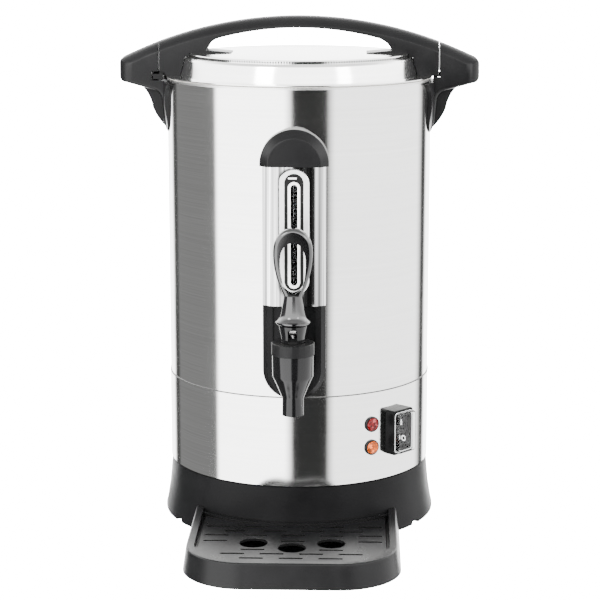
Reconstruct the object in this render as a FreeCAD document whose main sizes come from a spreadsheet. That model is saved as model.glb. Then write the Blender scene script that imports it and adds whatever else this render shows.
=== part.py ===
import FreeCAD, Part
import math
import os
import re
import Sketcher

# Percolator coffee urn: a double-walled steel tank on a black base, with a tap and
# level gauge at the front, a twist-on lid under an arch handle, and a drip tray.
# The origin is on the urn's centre line, at the surface that it stands on.
# +Z is up, the tap and the tray face -Y, and +X is to the right of a person in front.

doc = FreeCAD.newDocument("coffee_urn")
sizes = doc.addObject("Spreadsheet::Sheet", "Sizes")

# Driving dimensions, in millimetres and degrees
DIMENSIONS = {
    # steel body
    "body_radius": (110.0, "outside of the upper shell"),
    "sheet_wall": (0.8, "steel sheet thickness"),
    "skirt_radius": (110.4, "outside of the lower shell"),
    "skirt_bottom": (47.4, "lower edge of the lower shell"),
    "seam_height": (121.4, "top edge of the lower shell"),
    "bead_height": (0.8, "height of the bead between the two shells"),
    "rim_height": (370.4, "top of the tank's rim"),
    "rim_radius": (110.6, "outside of the tank's rim"),
    "tank_radius": (98.0, "outside of the inner tank"),
    "tank_floor": (131.0, "inside floor of the tank"),
    "well_radius": (26.0, "inside of the heating well"),
    "well_depth": (12.0, "depth of the heating well"),
    "joint_ring_reach": (10.0, "how far the joint ring runs behind each shell"),
    "joint_ring_wall": (1.2, "thickness of the joint ring"),
    # base
    "base_foot_radius": (115.4, "base at the surface it stands on"),
    "base_heel_radius": (114.5, "base just above its foot"),
    "base_heel_height": (5.7, "height of the foot's flare"),
    "base_waist_radius": (111.8, "base half way up"),
    "base_waist_height": (22.0, "height of the half way point"),
    "base_top_radius": (109.5, "base at its lip"),
    "base_top_height": (45.8, "height of the lip"),
    "base_groove": (0.6, "depth of the shadow groove under the steel"),
    "base_wall": (3.2, "wall of the base moulding"),
    "base_rim_inner": (107.0, "inside of the base's bottom rim"),
    "base_rim_height": (8.0, "height of the thick bottom rim"),
    "spigot_height": (60.0, "top of the spigot inside the lower shell"),
    "spigot_gap": (0.3, "gap between spigot and shell"),
    "notch_width": (10.0, "width of a vent notch in the bottom rim"),
    "notch_height": (2.6, "height of a vent notch in the bottom rim"),
    "notch_inner": (109.5, "inner end of a vent notch from the centre line"),
    "notch_azimuth": (60.0, "vent notches from the front, in degrees"),
    "plate_underside": (3.0, "underside of the bottom cover"),
    "plate_wall": (1.2, "thickness of the bottom cover"),
    "plate_radius": (106.6, "outside of the bottom cover"),
    "boss_circle": (98.0, "radius of the circle of screw bosses"),
    "boss_radius": (5.0, "radius of a screw boss"),
    "boss_height": (22.0, "top of a screw boss"),
    "foot_circle": (86.0, "radius of the circle of rubber feet"),
    "foot_radius": (9.0, "radius of a rubber foot"),
    "vent_slot_length": (26.0, "length of a vent slot in the bottom cover"),
    "vent_slot_width": (4.0, "width of a vent slot in the bottom cover"),
    # side handles and lid handle
    "handle_half_width": (13.5, "half the width of every handle"),
    "handle_top": (421.0, "top of the lid handle"),
    "handle_sweep": (333.0, "radius of the line that runs over all three handles"),
    "handle_crown": (8.2, "height of the handles' crowned top over its creases"),
    "handle_crease": (1.6, "rounding of the creases beside the crown"),
    "handle_reach": (150.0, "outer end of a side handle"),
    "handle_plan_round": (12.0, "rounding of a side handle's outer end"),
    "handle_inner_face": (117.0, "inner face of a side handle"),
    "handle_under_round": (3.2, "rounding of a side handle's lower edges"),
    "handle_fin_half": (4.0, "half the thickness of the fin"),
    "handle_fin_tip": (326.4, "lower tip of the leg and saddle"),
    "saddle_top": (367.5, "top of the saddle that hugs the shell"),
    "saddle_half_width": (42.0, "half width of the saddle at its top"),
    "saddle_waist_half": (27.5, "half width of the saddle's straight part"),
    "saddle_wall": (3.4, "thickness of the saddle at its top"),
    "saddle_tip_wall": (0.7, "thickness of the saddle at its tip"),
    "lock_slot_bottom": (367.7, "lower face of the lock slot"),
    "lock_slot_top": (375.2, "upper face of the lock slot"),
    "lock_slot_depth": (5.5, "depth of the lock slot"),
    "lock_slot_stop": (12.0, "far end of the lock slot past the handle's middle"),
    "handle_screw_low": (338.0, "height of the lower handle screw"),
    "handle_screw_high": (360.0, "height of the upper handle screws"),
    "handle_screw_side": (20.0, "upper handle screws to each side"),
    "light_stop_top": (371.2, "top of the rib that closes the lock slot's far end"),
    # lid
    "lid_flange_radius": (111.6, "outside of the lid's flange"),
    "lid_flange_top": (372.3, "top of the lid's flange"),
    "riser_foot_radius": (98.9, "foot of the lid's riser"),
    "riser_head_radius": (95.0, "head of the lid's riser"),
    "riser_head": (387.3, "top of the lid's riser"),
    "riser_round": (3.2, "rounding at the riser's head"),
    "tier_radius": (91.6, "radius of the raised top disc"),
    "tier_top": (390.3, "top of the raised disc"),
    "gasket_outer": (108.6, "outside of the lid gasket"),
    "gasket_inner": (100.4, "inside of the lid gasket"),
    "gasket_height": (1.0, "height of the lid gasket"),
    "arch_end": (116.4, "radius of the lid handle's round outer ends"),
    "arch_underside": (411.4, "underside of the lid handle at its middle"),
    "arch_under_sweep": (258.0, "radius of the lid handle's underside"),
    "arch_leg_inner": (77.0, "inner side of a leg where it meets the lid"),
    "arch_leg_shoulder": (66.0, "where the underside turns down into the leg"),
    "arch_foot_tip": (56.0, "inner end of the thin foot on the lid"),
    "arch_foot_height": (2.4, "height of the thin foot beside the leg"),
    "lug_reach": (120.8, "outer end of a bayonet lug"),
    "lug_inner": (112.4, "inner face of a bayonet lug"),
    "lug_top": (373.3, "top of a bayonet lug"),
    "lug_bottom": (369.2, "underside of a bayonet lug"),
    "lug_front": (16.5, "front of a bayonet lug"),
    "lug_thickness": (2.8, "thickness of a bayonet lug"),
    "lid_screw_across": (84.0, "lid handle screws from the centre"),
    "lid_screw_side": (7.0, "lid handle screws to each side"),
    # level gauge
    "cap_radius": (27.2, "outside of the gauge's top cap"),
    "cap_centre": (312.2, "centre height of the top cap's round"),
    "cap_bottom": (310.6, "underside of the top cap"),
    "cap_front": (127.2, "front face of the top cap"),
    "cap_screw_height": (329.0, "height of the top cap's screw"),
    "cap_bevel": (6.4, "bevel around the top cap's face"),
    "cover_half_width": (25.0, "half width of the gauge cover"),
    "cover_flat_half": (16.8, "half width of the cover's front face"),
    "cover_front": (124.0, "front face of the gauge cover"),
    "cover_corner": (119.0, "where the cover's facets meet its sides"),
    "cover_bottom": (199.7, "lower end of the gauge cover"),
    "slot_half_width": (7.6, "half width of the cover's slot"),
    "slot_low": (212.4, "lower end of the cover's slot"),
    "slot_high": (305.4, "upper end of the cover's slot"),
    "embossed_half": (12.0, "half width of the raised rim around the slot"),
    "embossed_height": (1.1, "height of the raised rim"),
    "window_half": (4.9, "half width of the window in the slot panel"),
    "window_low": (214.0, "lower end of the window"),
    "window_high": (298.8, "upper end of the window"),
    "frame_half": (2.7, "half width of the bright frame's opening"),
    "channel_half": (6.0, "half width of the dark channel behind the glass"),
    "channel_wall": (1.6, "side wall of the dark channel"),
    "tube_radius": (3.8, "outside of the gauge glass"),
    "tube_wall": (0.9, "wall of the gauge glass"),
    "tube_line": (116.2, "gauge glass from the urn's centre line"),
    "tube_low": (188.0, "lower end of the gauge glass"),
    "tube_high": (320.0, "upper end of the gauge glass"),
    "seal_radius": (5.9, "outside of a gauge seal"),
    "seal_height": (9.0, "height of a gauge seal"),
    "housing_front": (122.0, "front face of the tap housing"),
    "housing_centre": (147.6, "centre height of the housing's round bottom"),
    "housing_recess_half": (17.0, "half width of the recess behind the tap"),
    "housing_recess": (2.4, "depth of the recess behind the tap"),
    "housing_screw_height": (182.0, "height of the housing screws"),
    "housing_screw_side": (18.0, "housing screws to each side"),
    # tap
    "tap_line": (148.0, "tap from the urn's centre line"),
    "tap_radius": (16.3, "outside of the tap's body"),
    "tap_shoulder": (166.7, "top of the tap's plain body"),
    "tap_taper": (150.0, "where the tap's body starts to taper"),
    "tap_knee": (140.0, "where the taper steepens"),
    "tap_knee_radius": (11.9, "radius at the knee"),
    "spout_radius": (8.5, "outside of the spout"),
    "spout_top": (131.6, "top of the straight spout"),
    "spout_bottom": (118.0, "mouth of the spout"),
    "spout_bore": (6.0, "bore of the spout"),
    "valve_seat": (146.5, "height of the valve seat"),
    "chamber_radius": (10.0, "radius of the tap's chamber"),
    "collar_radius": (16.9, "outside of the collar across its corners"),
    "collar_thread": (14.0, "thread between collar and body"),
    "collar_top": (176.3, "top of the collar"),
    "collar_lip": (9.7, "inside of the collar's top lip"),
    "shank_height": (153.0, "height of the tap's shank"),
    "shank_radius": (8.8, "radius of the tap's threaded shank"),
    "shank_bore": (5.0, "bore of the tap's shank"),
    "shank_end": (84.0, "inner end of the shank from the centre line"),
    "arm_radius": (11.0, "radius of the arm between tap and housing"),
    "bonnet_foot": (9.0, "radius of the bonnet where it leaves the collar"),
    "bonnet_neck": (9.4, "radius of the bonnet at its cavity's floor"),
    "bonnet_neck_height": (181.0, "height of the bonnet's neck"),
    "bonnet_head": (11.3, "radius of the bonnet's head"),
    "bonnet_top": (190.0, "top of the bonnet"),
    "bonnet_cavity": (7.6, "radius of the bonnet's cavity"),
    "bonnet_slot_half": (3.6, "half width of the slot in the bonnet's front"),
    "bonnet_slot_low": (176.5, "lower end of the bonnet's slot"),
    "bonnet_slot_high": (187.4, "upper end of the bonnet's slot"),
    "stem_radius": (2.4, "radius of the valve stem"),
    "pin_height": (186.0, "height of the lever's pin"),
    "pin_radius": (2.0, "radius of the lever's pin"),
    "pin_clearance": (0.05, "radial running clearance of the pin"),
    "eye_radius": (4.6, "radius of the stem's eye"),
    "eye_half": (2.5, "half thickness of the stem's eye"),
    "fork_half": (5.6, "half width over the lever's fork"),
    "fork_hub": (4.2, "radius of the fork's rounded ends"),
    "lever_skirt_bottom": (190.5, "underside of the lever's skirt"),
    "lever_skirt_radius": (13.8, "radius of the lever's skirt"),
    "lever_ring_thick": (9.4, "thickness of the finger ring"),
    "lever_ring_round": (3.2, "rounding of the finger ring's outer edges"),
    "spring_low": (157.8, "lower end of the tap's spring"),
    "spring_high": (171.2, "upper end of the tap's spring"),
    "spring_turns": (3.5, "turns in the spring"),
    "spring_radius": (5.0, "centre line radius of the spring"),
    "spring_wire": (0.55, "radius of the spring's wire"),
    # controls and inlet
    "lamp_azimuth": (34.3, "lamps from the front, in degrees"),
    "lamp_high": (95.2, "height of the boil lamp"),
    "lamp_low": (75.7, "height of the keep-warm lamp"),
    "lamp_radius": (6.4, "outside of a lamp's bezel"),
    "lamp_lens_radius": (5.3, "radius of a lamp's lens"),
    "lamp_lens_height": (3.2, "how far a lens stands out"),
    "lamp_barrel": (4.9, "radius of a lamp's barrel"),
    "lamp_barrel_length": (24.0, "length of a lamp's barrel behind the shell"),
    "switch_azimuth": (48.0, "switch from the front, in degrees"),
    "switch_height": (86.2, "height of the switch's centre"),
    "switch_half_width": (12.0, "half width of the switch's surround"),
    "switch_half_height": (18.6, "half height of the switch's surround"),
    "switch_stand": (8.6, "how far the surround stands out"),
    "rocker_half_width": (7.6, "half width of the rocker"),
    "rocker_half_height": (12.0, "half height of the rocker"),
    "rocker_room": (14.4, "half height of the rocker's well"),
    "rocker_tilt": (10.0, "tilt of the rocker at rest, in degrees"),
    "switch_cover_stand": (13.6, "how far the clear cover stands out"),
    "inlet_height": (82.0, "height of the power inlet"),
    "inlet_half_width": (13.5, "half width of the inlet's body"),
    "inlet_half_height": (10.0, "half height of the inlet's body"),
    "inlet_flange_half": (25.0, "half width of the inlet's flange"),
    "inlet_screw_half": (20.0, "inlet screws to each side"),
    "inlet_stand": (114.0, "outer face of the inlet's flange"),
    # heater
    "heater_plate_radius": (80.0, "outside of the heater plate"),
    "heater_plate_wall": (4.0, "thickness of the heater plate"),
    "boil_ring_radius": (50.0, "radius of the boiling element's ring"),
    "boil_tube": (3.6, "radius of the boiling element's sheath"),
    "warm_ring_radius": (37.0, "radius of the keep-warm element's ring"),
    "warm_tube": (2.6, "radius of the keep-warm element's sheath"),
    "thermostat_line": (66.0, "thermostat from the centre line"),
    # percolator
    "stem_tube_radius": (5.0, "outside of the percolator tube"),
    "stem_tube_wall": (0.8, "wall of the percolator tube"),
    "stem_tube_top": (352.0, "top of the percolator tube"),
    "bell_radius": (22.0, "foot of the percolator's bell"),
    "bell_height": (10.0, "height of the percolator's bell"),
    "basket_radius": (70.0, "outside of the coffee basket"),
    "basket_low": (265.0, "underside of the coffee basket"),
    "basket_high": (335.0, "top of the coffee basket"),
    # drip tray
    "tray_height": (20.0, "height of the drip tray"),
    "tray_half_width": (85.8, "half width of the tray at its foot"),
    "tray_front": (222.6, "front of the tray at its foot"),
    "tray_corner": (49.0, "corner radius of the tray at its foot"),
    "tray_flare": (3.0, "how far the tray's walls lean in at the top"),
    "tray_edge_round": (1.6, "rounding of the tray's top edge"),
    "tray_rim": (6.2, "width of the tray's rim"),
    "tray_wall": (2.4, "floor thickness of the tray"),
    "tray_ledge": (2.2, "width of the ledge that carries the grille"),
    "tray_back_line": (117.0, "back wall of the tray from the centre line"),
    "tray_back_wall": (2.4, "thickness of the tray's back wall"),
    "tray_ear_gap": (0.7, "gap between the tray's ears and the base"),
    "grille_top": (17.0, "top of the grille"),
    "grille_wall": (2.0, "thickness of the grille"),
    "grille_gap": (0.6, "gap around the grille"),
    "grille_side_gap": (2.2, "drain gap along the grille's straight sides"),
    "grille_slot_length": (19.2, "length of a drain slot"),
    "grille_slot_width": (2.8, "width of a drain slot"),
    "grille_pitch": (30.7, "drain slots from centre to centre"),
    "cup_hole_radius": (11.2, "radius of a large drain hole"),
    "cup_hole_line": (163.0, "outer large holes from the centre line"),
    "cup_hole_front": (174.0, "middle large hole from the centre line"),
    "tongue_inner": (19.0, "inner side of a docking tongue"),
    "tongue_width": (16.0, "width of a docking tongue"),
    "tongue_height": (2.2, "height of a docking tongue"),
    "tongue_end": (104.5, "end of a docking tongue from the centre line"),
}

for row, (alias, (value, note)) in enumerate(DIMENSIONS.items(), start=1):
    sizes.set(f"A{row}", note)
    sizes.set(f"B{row}", str(value))
    sizes.setAlias(f"B{row}", alias)
doc.recompute()


class Sheet:
    """Reads the sheet's cells as plain numbers for shapes made point by point."""

    def __getattr__(self, alias):
        return float(sizes.get(alias))


s = Sheet()


def bound(text):
    """Expression text in which each size word refers to its cell."""
    return re.sub(r"\b([a-z][a-z0-9_]*)\b", r"Sizes.\1", str(text))


def number(text):
    """Value of an expression written with size words."""
    value = sizes.evalExpression(bound(text))
    return float(getattr(value, "Value", value))


def bind(item, **fields):
    for field, text in fields.items():
        item.setExpression(field, bound(text))


def move(item, at, rotation=None):
    """Place an object at expression coordinates, after an optional turn."""
    base = FreeCAD.Vector(*[number(text) for text in at])
    item.Placement = FreeCAD.Placement(base, rotation or FreeCAD.Rotation())
    for letter, text in zip("xyz", at):
        item.setExpression(f"Placement.Base.{letter}", bound(text))
    return item


ALONG = {
    "z": FreeCAD.Rotation(),
    "x": FreeCAD.Rotation(FreeCAD.Vector(0, 1, 0), 90),
    "y": FreeCAD.Rotation(FreeCAD.Vector(1, 0, 0), -90),
}


def rod(name, radius, length, at=("0", "0", "0"), along="z"):
    item = doc.addObject("Part::Cylinder", name)
    bind(item, Radius=radius, Height=length)
    return move(item, at, ALONG[along])


def cone(name, low, high, length, at=("0", "0", "0"), along="z"):
    item = doc.addObject("Part::Cone", name)
    bind(item, Radius1=low, Radius2=high, Height=length)
    return move(item, at, ALONG[along])


def block(name, size, at):
    """Box from its lowest corner."""
    item = doc.addObject("Part::Box", name)
    bind(item, Length=size[0], Width=size[1], Height=size[2])
    return move(item, at)


def hexagon(name, circumradius, length, at, along="z"):
    item = doc.addObject("Part::Prism", name)
    item.Polygon = 6
    bind(item, Circumradius=circumradius, Height=length)
    return move(item, at, ALONG[along])


def join(name, *items):
    item = doc.addObject("Part::MultiFuse", name)
    item.Shapes = list(items)
    return item


def cut(name, base, *tools):
    item = doc.addObject("Part::Cut", name)
    item.Base = base
    item.Tool = tools[0] if len(tools) == 1 else join(name + "_tools", *tools)
    return item


def common(name, first, second):
    item = doc.addObject("Part::Common", name)
    item.Base = first
    item.Tool = second
    return item


def group(name, *items):
    """Like pieces that share one node as separate solids."""
    item = doc.addObject("Part::Compound", name)
    item.Links = list(items)
    return item


def turn(item, azimuth):
    """Swing a finished object round the urn's centre line."""
    angle = number(azimuth)
    item.Placement = FreeCAD.Placement(FreeCAD.Vector(), FreeCAD.Rotation(angle, 0, 0))
    return item


def solid(name, shape):
    item = doc.addObject("Part::Feature", name)
    item.Shape = shape
    return item


def plane(body, role):
    return [item for item in body.Origin.OriginFeatures if item.Role == role][0]


def outline(body, role, corners, lift=None):
    """Closed sketch through corners given as (across, up) or (across, up, rounding)."""
    sketch = body.newObject("Sketcher::SketchObject", body.Name + "_outline")
    sketch.AttachmentSupport = [(plane(body, role), "")]
    sketch.MapMode = "FlatFace"
    if lift:
        bind(sketch, **{"AttachmentOffset.Base.z": lift})
    places = [FreeCAD.Vector(number(corner[0]), number(corner[1]), 0) for corner in corners]
    rounds = [number(corner[2]) if len(corner) > 2 else 0.0 for corner in corners]
    count = len(corners)
    starts, ends, middles = [], [], []
    for index, place in enumerate(places):
        before = (places[index - 1] - place).normalize()
        after = (places[(index + 1) % count] - place).normalize()
        if not rounds[index]:
            starts.append(place)
            ends.append(place)
            middles.append(None)
            continue
        half = before.getAngle(after) / 2
        setback = rounds[index] / math.tan(half)
        bisector = (before + after).normalize()
        centre = place + bisector * (rounds[index] / math.sin(half))
        ends.append(place + before * setback)
        starts.append(place + after * setback)
        middles.append(centre - bisector * rounds[index])
    for index in range(count):
        last = ends[(index + 1) % count]
        sketch.addGeometry(Part.LineSegment(starts[index], last))
    arcs = {}
    for index in range(count):
        if middles[index] is not None:
            arc = Part.Arc(ends[index], middles[index], starts[index])
            arcs[index] = sketch.addGeometry(arc)
    for index, corner in enumerate(corners):
        line_in, line_out = (index - 1) % count, index
        if index in arcs:
            point = sketch.addGeometry(Part.Point(places[index]), True)
            sketch.addConstraint(Sketcher.Constraint("PointOnObject", point, 1, line_in))
            sketch.addConstraint(Sketcher.Constraint("PointOnObject", point, 1, line_out))
            arc = sketch.Geometry[arcs[index]]
            near = arc.StartPoint.distanceToPoint(ends[index])
            far = arc.EndPoint.distanceToPoint(ends[index])
            first, second = (1, 2) if near < far else (2, 1)
            sketch.addConstraint(
                Sketcher.Constraint("Tangent", line_in, 2, arcs[index], first))
            sketch.addConstraint(
                Sketcher.Constraint("Tangent", line_out, 1, arcs[index], second))
            radius = sketch.addConstraint(
                Sketcher.Constraint("Radius", arcs[index], rounds[index]))
            sketch.setExpression(f"Constraints[{radius}]", bound(corner[2]))
        else:
            point = line_out
            sketch.addConstraint(Sketcher.Constraint("Coincident", line_in, 2, line_out, 1))
        for kind, value, text in (("DistanceX", places[index].x, corner[0]),
                                  ("DistanceY", places[index].y, corner[1])):
            tied = sketch.addConstraint(Sketcher.Constraint(kind, -1, 1, point, 1, value))
            sketch.setExpression(f"Constraints[{tied}]", bound(text))
    return sketch


def turned(name, corners, at=None):
    """Body of revolution about its own vertical axis; corners are (radius, height)."""
    body = doc.addObject("PartDesign::Body", name)
    feature = body.newObject("PartDesign::Revolution", name + "_turn")
    feature.Profile = outline(body, "XZ_Plane", corners)
    feature.ReferenceAxis = (feature.Profile[0], ["V_Axis"])
    feature.Angle = 360
    if at:
        move(body, at)
    return body


def pole(azimuth, radius, height):
    """Point at an azimuth from the front, in degrees towards +X."""
    angle = math.radians(azimuth)
    return FreeCAD.Vector(radius * math.sin(angle), -radius * math.cos(angle), height)


def shell_drill(name, azimuth, height, radius, low="90", high="125"):
    """Radial drill through the shells at an azimuth from the front."""
    item = doc.addObject("Part::Cylinder", name)
    bind(item, Radius=radius, Height=f"({high}) - ({low})")
    angle = number(azimuth)
    rotation = FreeCAD.Rotation(angle, 0, 0).multiply(FreeCAD.Rotation(FreeCAD.Vector(1, 0, 0), 90))
    item.Placement = FreeCAD.Placement(pole(angle, number(low), number(height)), rotation)
    return item


def shell_window(name, azimuth, height, half_width, half_height):
    """Square hole through the lower shell at an azimuth from the front."""
    item = doc.addObject("Part::Box", name)
    bind(item, Length=f"2 * ({half_width})", Width="40", Height=f"2 * ({half_height})")
    rotation = FreeCAD.Rotation(number(azimuth), 0, 0)
    corner = FreeCAD.Vector(-number(half_width), -130, number(f"{height} - ({half_height})"))
    item.Placement = FreeCAD.Placement(rotation.multVec(corner), rotation)
    return item


def arc_through(first, middle, last):
    return Part.Arc(FreeCAD.Vector(*first), FreeCAD.Vector(*middle), FreeCAD.Vector(*last)).toShape()


def line(first, last):
    return Part.makeLine(FreeCAD.Vector(*first), FreeCAD.Vector(*last))


def face(edges):
    return Part.Face(Part.Wire(Part.__sortEdges__(edges)))


# Steel body

def upper_shell():
    inner = "body_radius - sheet_wall"
    foot = "seam_height + bead_height"
    head = "rim_height - 2 * sheet_wall"
    wall = turned("upper_shell_wall", [(inner, foot), ("body_radius", foot),
                                       ("body_radius", head), (inner, head)])
    holes = [shell_drill("shell_tap_hole", "0", "shank_height", "shank_radius + 0.4"),
             shell_drill("shell_cap_hole", "0", "cap_screw_height", "2.3"),
             shell_drill("shell_breather", "0", "tube_high - 6", "1.5")]
    for side in (-1, 1):
        holes.append(rod(f"shell_housing_hole_{side}", "2.3", "40",
                         (f"{side} * housing_screw_side", "-125", "housing_screw_height"), "y"))
        holes += handle_drills(f"shell_handle_{side}", side, "2.3", "90", "125")
    return cut("upper_shell", wall, *holes)


def handle_drills(name, side, radius, low, high):
    """Three drills towards a side handle: one low at the middle and two high beside it."""
    reach = f"({high}) - ({low})"
    start = low if side > 0 else f"-({high})"
    places = [("0", "handle_screw_low"), ("handle_screw_side", "handle_screw_high"),
              ("-handle_screw_side", "handle_screw_high")]
    return [rod(f"{name}_{index}", radius, reach, (start, place[0], place[1]), "x")
            for index, place in enumerate(places)]


def lower_shell():
    inner = "skirt_radius - sheet_wall"
    wall = turned("lower_shell_wall", [(inner, "skirt_bottom"), ("skirt_radius", "skirt_bottom"),
                                       ("skirt_radius", "seam_height"), (inner, "seam_height")])
    holes = [shell_drill("lamp_hole_high", "lamp_azimuth", "lamp_high", "lamp_barrel + 0.2"),
             shell_drill("lamp_hole_low", "lamp_azimuth", "lamp_low", "lamp_barrel + 0.2"),
             shell_window("switch_hole", "switch_azimuth", "switch_height", "10.4", "15.6"),
             shell_window("inlet_hole", "180", "inlet_height", "inlet_half_width + 0.3",
                          "inlet_half_height + 0.3")]
    for side in (-1, 1):
        holes.append(rod(f"inlet_screw_hole_{side}", "1.8", "40",
                         (f"{side} * inlet_screw_half", "90", "inlet_height"), "y"))
    return cut("lower_shell", wall, *holes)


def joint_ring():
    outer = "body_radius - sheet_wall - 0.1"
    inner = "body_radius - sheet_wall - 0.1 - joint_ring_wall"
    top = "seam_height + bead_height"
    low = "seam_height - joint_ring_reach"
    return turned("joint_ring", [
        (inner, low), (outer, low), (outer, "seam_height"), ("skirt_radius + 0.1", "seam_height"),
        ("skirt_radius + 0.1", top), (outer, top),
        (outer, "seam_height + joint_ring_reach"), (inner, "seam_height + joint_ring_reach")])


def tank():
    inner = "tank_radius - sheet_wall"
    well = "well_radius + sheet_wall"
    well_floor = "tank_floor - well_depth"
    vessel = turned("tank_vessel", [
        ("0", "tank_floor - well_depth - sheet_wall"), (well, "tank_floor - well_depth - sheet_wall"),
        (well, "tank_floor - sheet_wall"), ("tank_radius", "tank_floor - sheet_wall"),
        ("tank_radius", "rim_height - sheet_wall"), ("rim_radius", "rim_height - sheet_wall"),
        ("rim_radius", "rim_height"), (inner, "rim_height"), (inner, "tank_floor"),
        ("well_radius", "tank_floor"), ("well_radius", well_floor), ("0", well_floor)])
    rim_roll = turned("tank_rim_roll", [
        ("body_radius - sheet_wall", "rim_height - 2 * sheet_wall"),
        ("rim_radius", "rim_height - 2 * sheet_wall"),
        ("rim_radius", "rim_height - sheet_wall"),
        ("body_radius - sheet_wall", "rim_height - sheet_wall")])
    tap_hole = shell_drill("tank_tap_hole", "0", "shank_height", "shank_radius + 0.2")
    return cut("tank", join("tank_blank", vessel, rim_roll), tap_hole)


# Base

def base_ring():
    inner = "base_top_radius - base_wall"
    spigot = "skirt_radius - sheet_wall - spigot_gap"
    wall = turned("base_ring_wall", [
        ("base_rim_inner", "0"), ("base_foot_radius", "0"), ("base_foot_radius", "2.4"),
        ("base_heel_radius", "base_heel_height"), ("base_waist_radius", "base_waist_height"),
        ("base_top_radius", "base_top_height"),
        ("base_top_radius - base_groove", "base_top_height"),
        ("base_top_radius - base_groove", "skirt_bottom - 0.6"),
        ("skirt_radius - 0.4", "skirt_bottom - 0.6"), ("skirt_radius - 0.4", "skirt_bottom"),
        (spigot, "skirt_bottom"), (spigot, "spigot_height"), (inner, "spigot_height"),
        (inner, "base_rim_height"), ("base_rim_inner", "base_rim_height")])
    bosses, pilots = [], []
    for index in range(4):
        place = pole(45 + 90 * index, s.boss_circle, s.plate_underside + s.plate_wall)
        boss = doc.addObject("Part::Cylinder", f"boss_{index}")
        bind(boss, Radius="boss_radius", Height="boss_height - plate_underside - plate_wall")
        boss.Placement.Base = place
        web = doc.addObject("Part::Box", f"boss_web_{index}")
        bind(web, Length="12", Width="3", Height="boss_height - plate_underside - plate_wall")
        turned_web = FreeCAD.Rotation(45 + 90 * index - 90, 0, 0)
        offset = turned_web.multVec(FreeCAD.Vector(0, -1.5, 0))
        web.Placement = FreeCAD.Placement(place + offset, turned_web)
        pilot = doc.addObject("Part::Cylinder", f"boss_pilot_{index}")
        bind(pilot, Radius="1.6", Height="12")
        pilot.Placement.Base = place - FreeCAD.Vector(0, 0, 1)
        bosses += [boss, web]
        pilots.append(pilot)
    notches = []
    for index, azimuth in enumerate((-1, 1, -2, 2)):
        angle = s.notch_azimuth * azimuth
        notch = doc.addObject("Part::Box", f"rim_notch_{index}")
        bind(notch, Length="notch_width", Width="118 - notch_inner", Height="notch_height")
        rotation = FreeCAD.Rotation(angle, 0, 0)
        corner = FreeCAD.Vector(-s.notch_width / 2, -118, 0)
        notch.Placement = FreeCAD.Placement(rotation.multVec(corner), rotation)
        notches.append(notch)
    docks = [block(f"dock_{side}", ("tongue_width + 2", "20", "tongue_height + 1.2"),
                   (f"{side} * (tongue_inner + tongue_width / 2) - tongue_width / 2 - 1",
                    "-120", "0")) for side in (-1, 1)]
    return cut("base_ring", join("base_ring_blank", wall, *bosses), *pilots, *notches, *docks)


def base_plate():
    disc = rod("base_plate_disc", "plate_radius", "plate_wall", ("0", "0", "plate_underside"))
    holes = []
    for index in range(4):
        screw = doc.addObject("Part::Cylinder", f"plate_screw_hole_{index}")
        bind(screw, Radius="1.9", Height="10")
        screw.Placement.Base = pole(45 + 90 * index, s.boss_circle, 0)
        foot = doc.addObject("Part::Cylinder", f"plate_foot_hole_{index}")
        bind(foot, Radius="3.2", Height="10")
        foot.Placement.Base = pole(15 + 90 * index, s.foot_circle, 0)
        holes += [screw, foot]
    for column in range(-3, 4):
        holes.append(block(f"plate_vent_{column}", ("vent_slot_width", "vent_slot_length", "10"),
                           (f"{column} * 12 - vent_slot_width / 2", "-vent_slot_length / 2", "0")))
    return cut("base_plate", disc, *holes)


def base_feet():
    feet = []
    top = number("plate_underside + plate_wall")
    for index in range(4):
        pad = doc.addObject("Part::Cylinder", f"foot_pad_{index}")
        bind(pad, Radius="foot_radius", Height="plate_underside")
        neck = doc.addObject("Part::Cylinder", f"foot_neck_{index}")
        bind(neck, Radius="3.15", Height="plate_wall + 0.4")
        neck.Placement.Base = FreeCAD.Vector(0, 0, s.plate_underside - 0.2)
        bulb = doc.addObject("Part::Cone", f"foot_bulb_{index}")
        bind(bulb, Radius1="4.4", Radius2="2.4", Height="2.6")
        bulb.Placement.Base = FreeCAD.Vector(0, 0, top)
        foot = join(f"foot_{index}", pad, neck, bulb)
        foot.Placement.Base = pole(15 + 90 * index, s.foot_circle, 0)
        feet.append(foot)
    return group("rubber_feet", *feet)


def screw(name, head, shank, length, head_height="2"):
    """Pan head screw that points up, with the underside of its head at its own zero."""
    cap = rod(name + "_head", head, head_height, ("0", "0", f"-({head_height})"))
    stud = rod(name + "_shank", shank, f"{length} + 0.2", ("0", "0", "-0.2"))
    drive = block(name + "_drive", ("1", f"2 * ({head})", "0.8"),
                  ("-0.5", f"-({head})", f"-({head_height})"))
    return cut(name, join(name + "_blank", cap, stud), drive)


def aim(item, place, rotation):
    item.Placement = FreeCAD.Placement(place, rotation)
    return item


def base_screws():
    made = []
    for index in range(4):
        item = screw(f"base_screw_{index}", "3", "1.5", "10")
        made.append(aim(item, pole(45 + 90 * index, s.boss_circle, s.plate_underside),
                        FreeCAD.Rotation()))
    return group("base_screws", *made)


# Handles

def handle_line(x):
    """Height of the line that runs over the three handles."""
    return s.handle_top - s.handle_sweep + math.sqrt(s.handle_sweep ** 2 - x ** 2)


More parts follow.
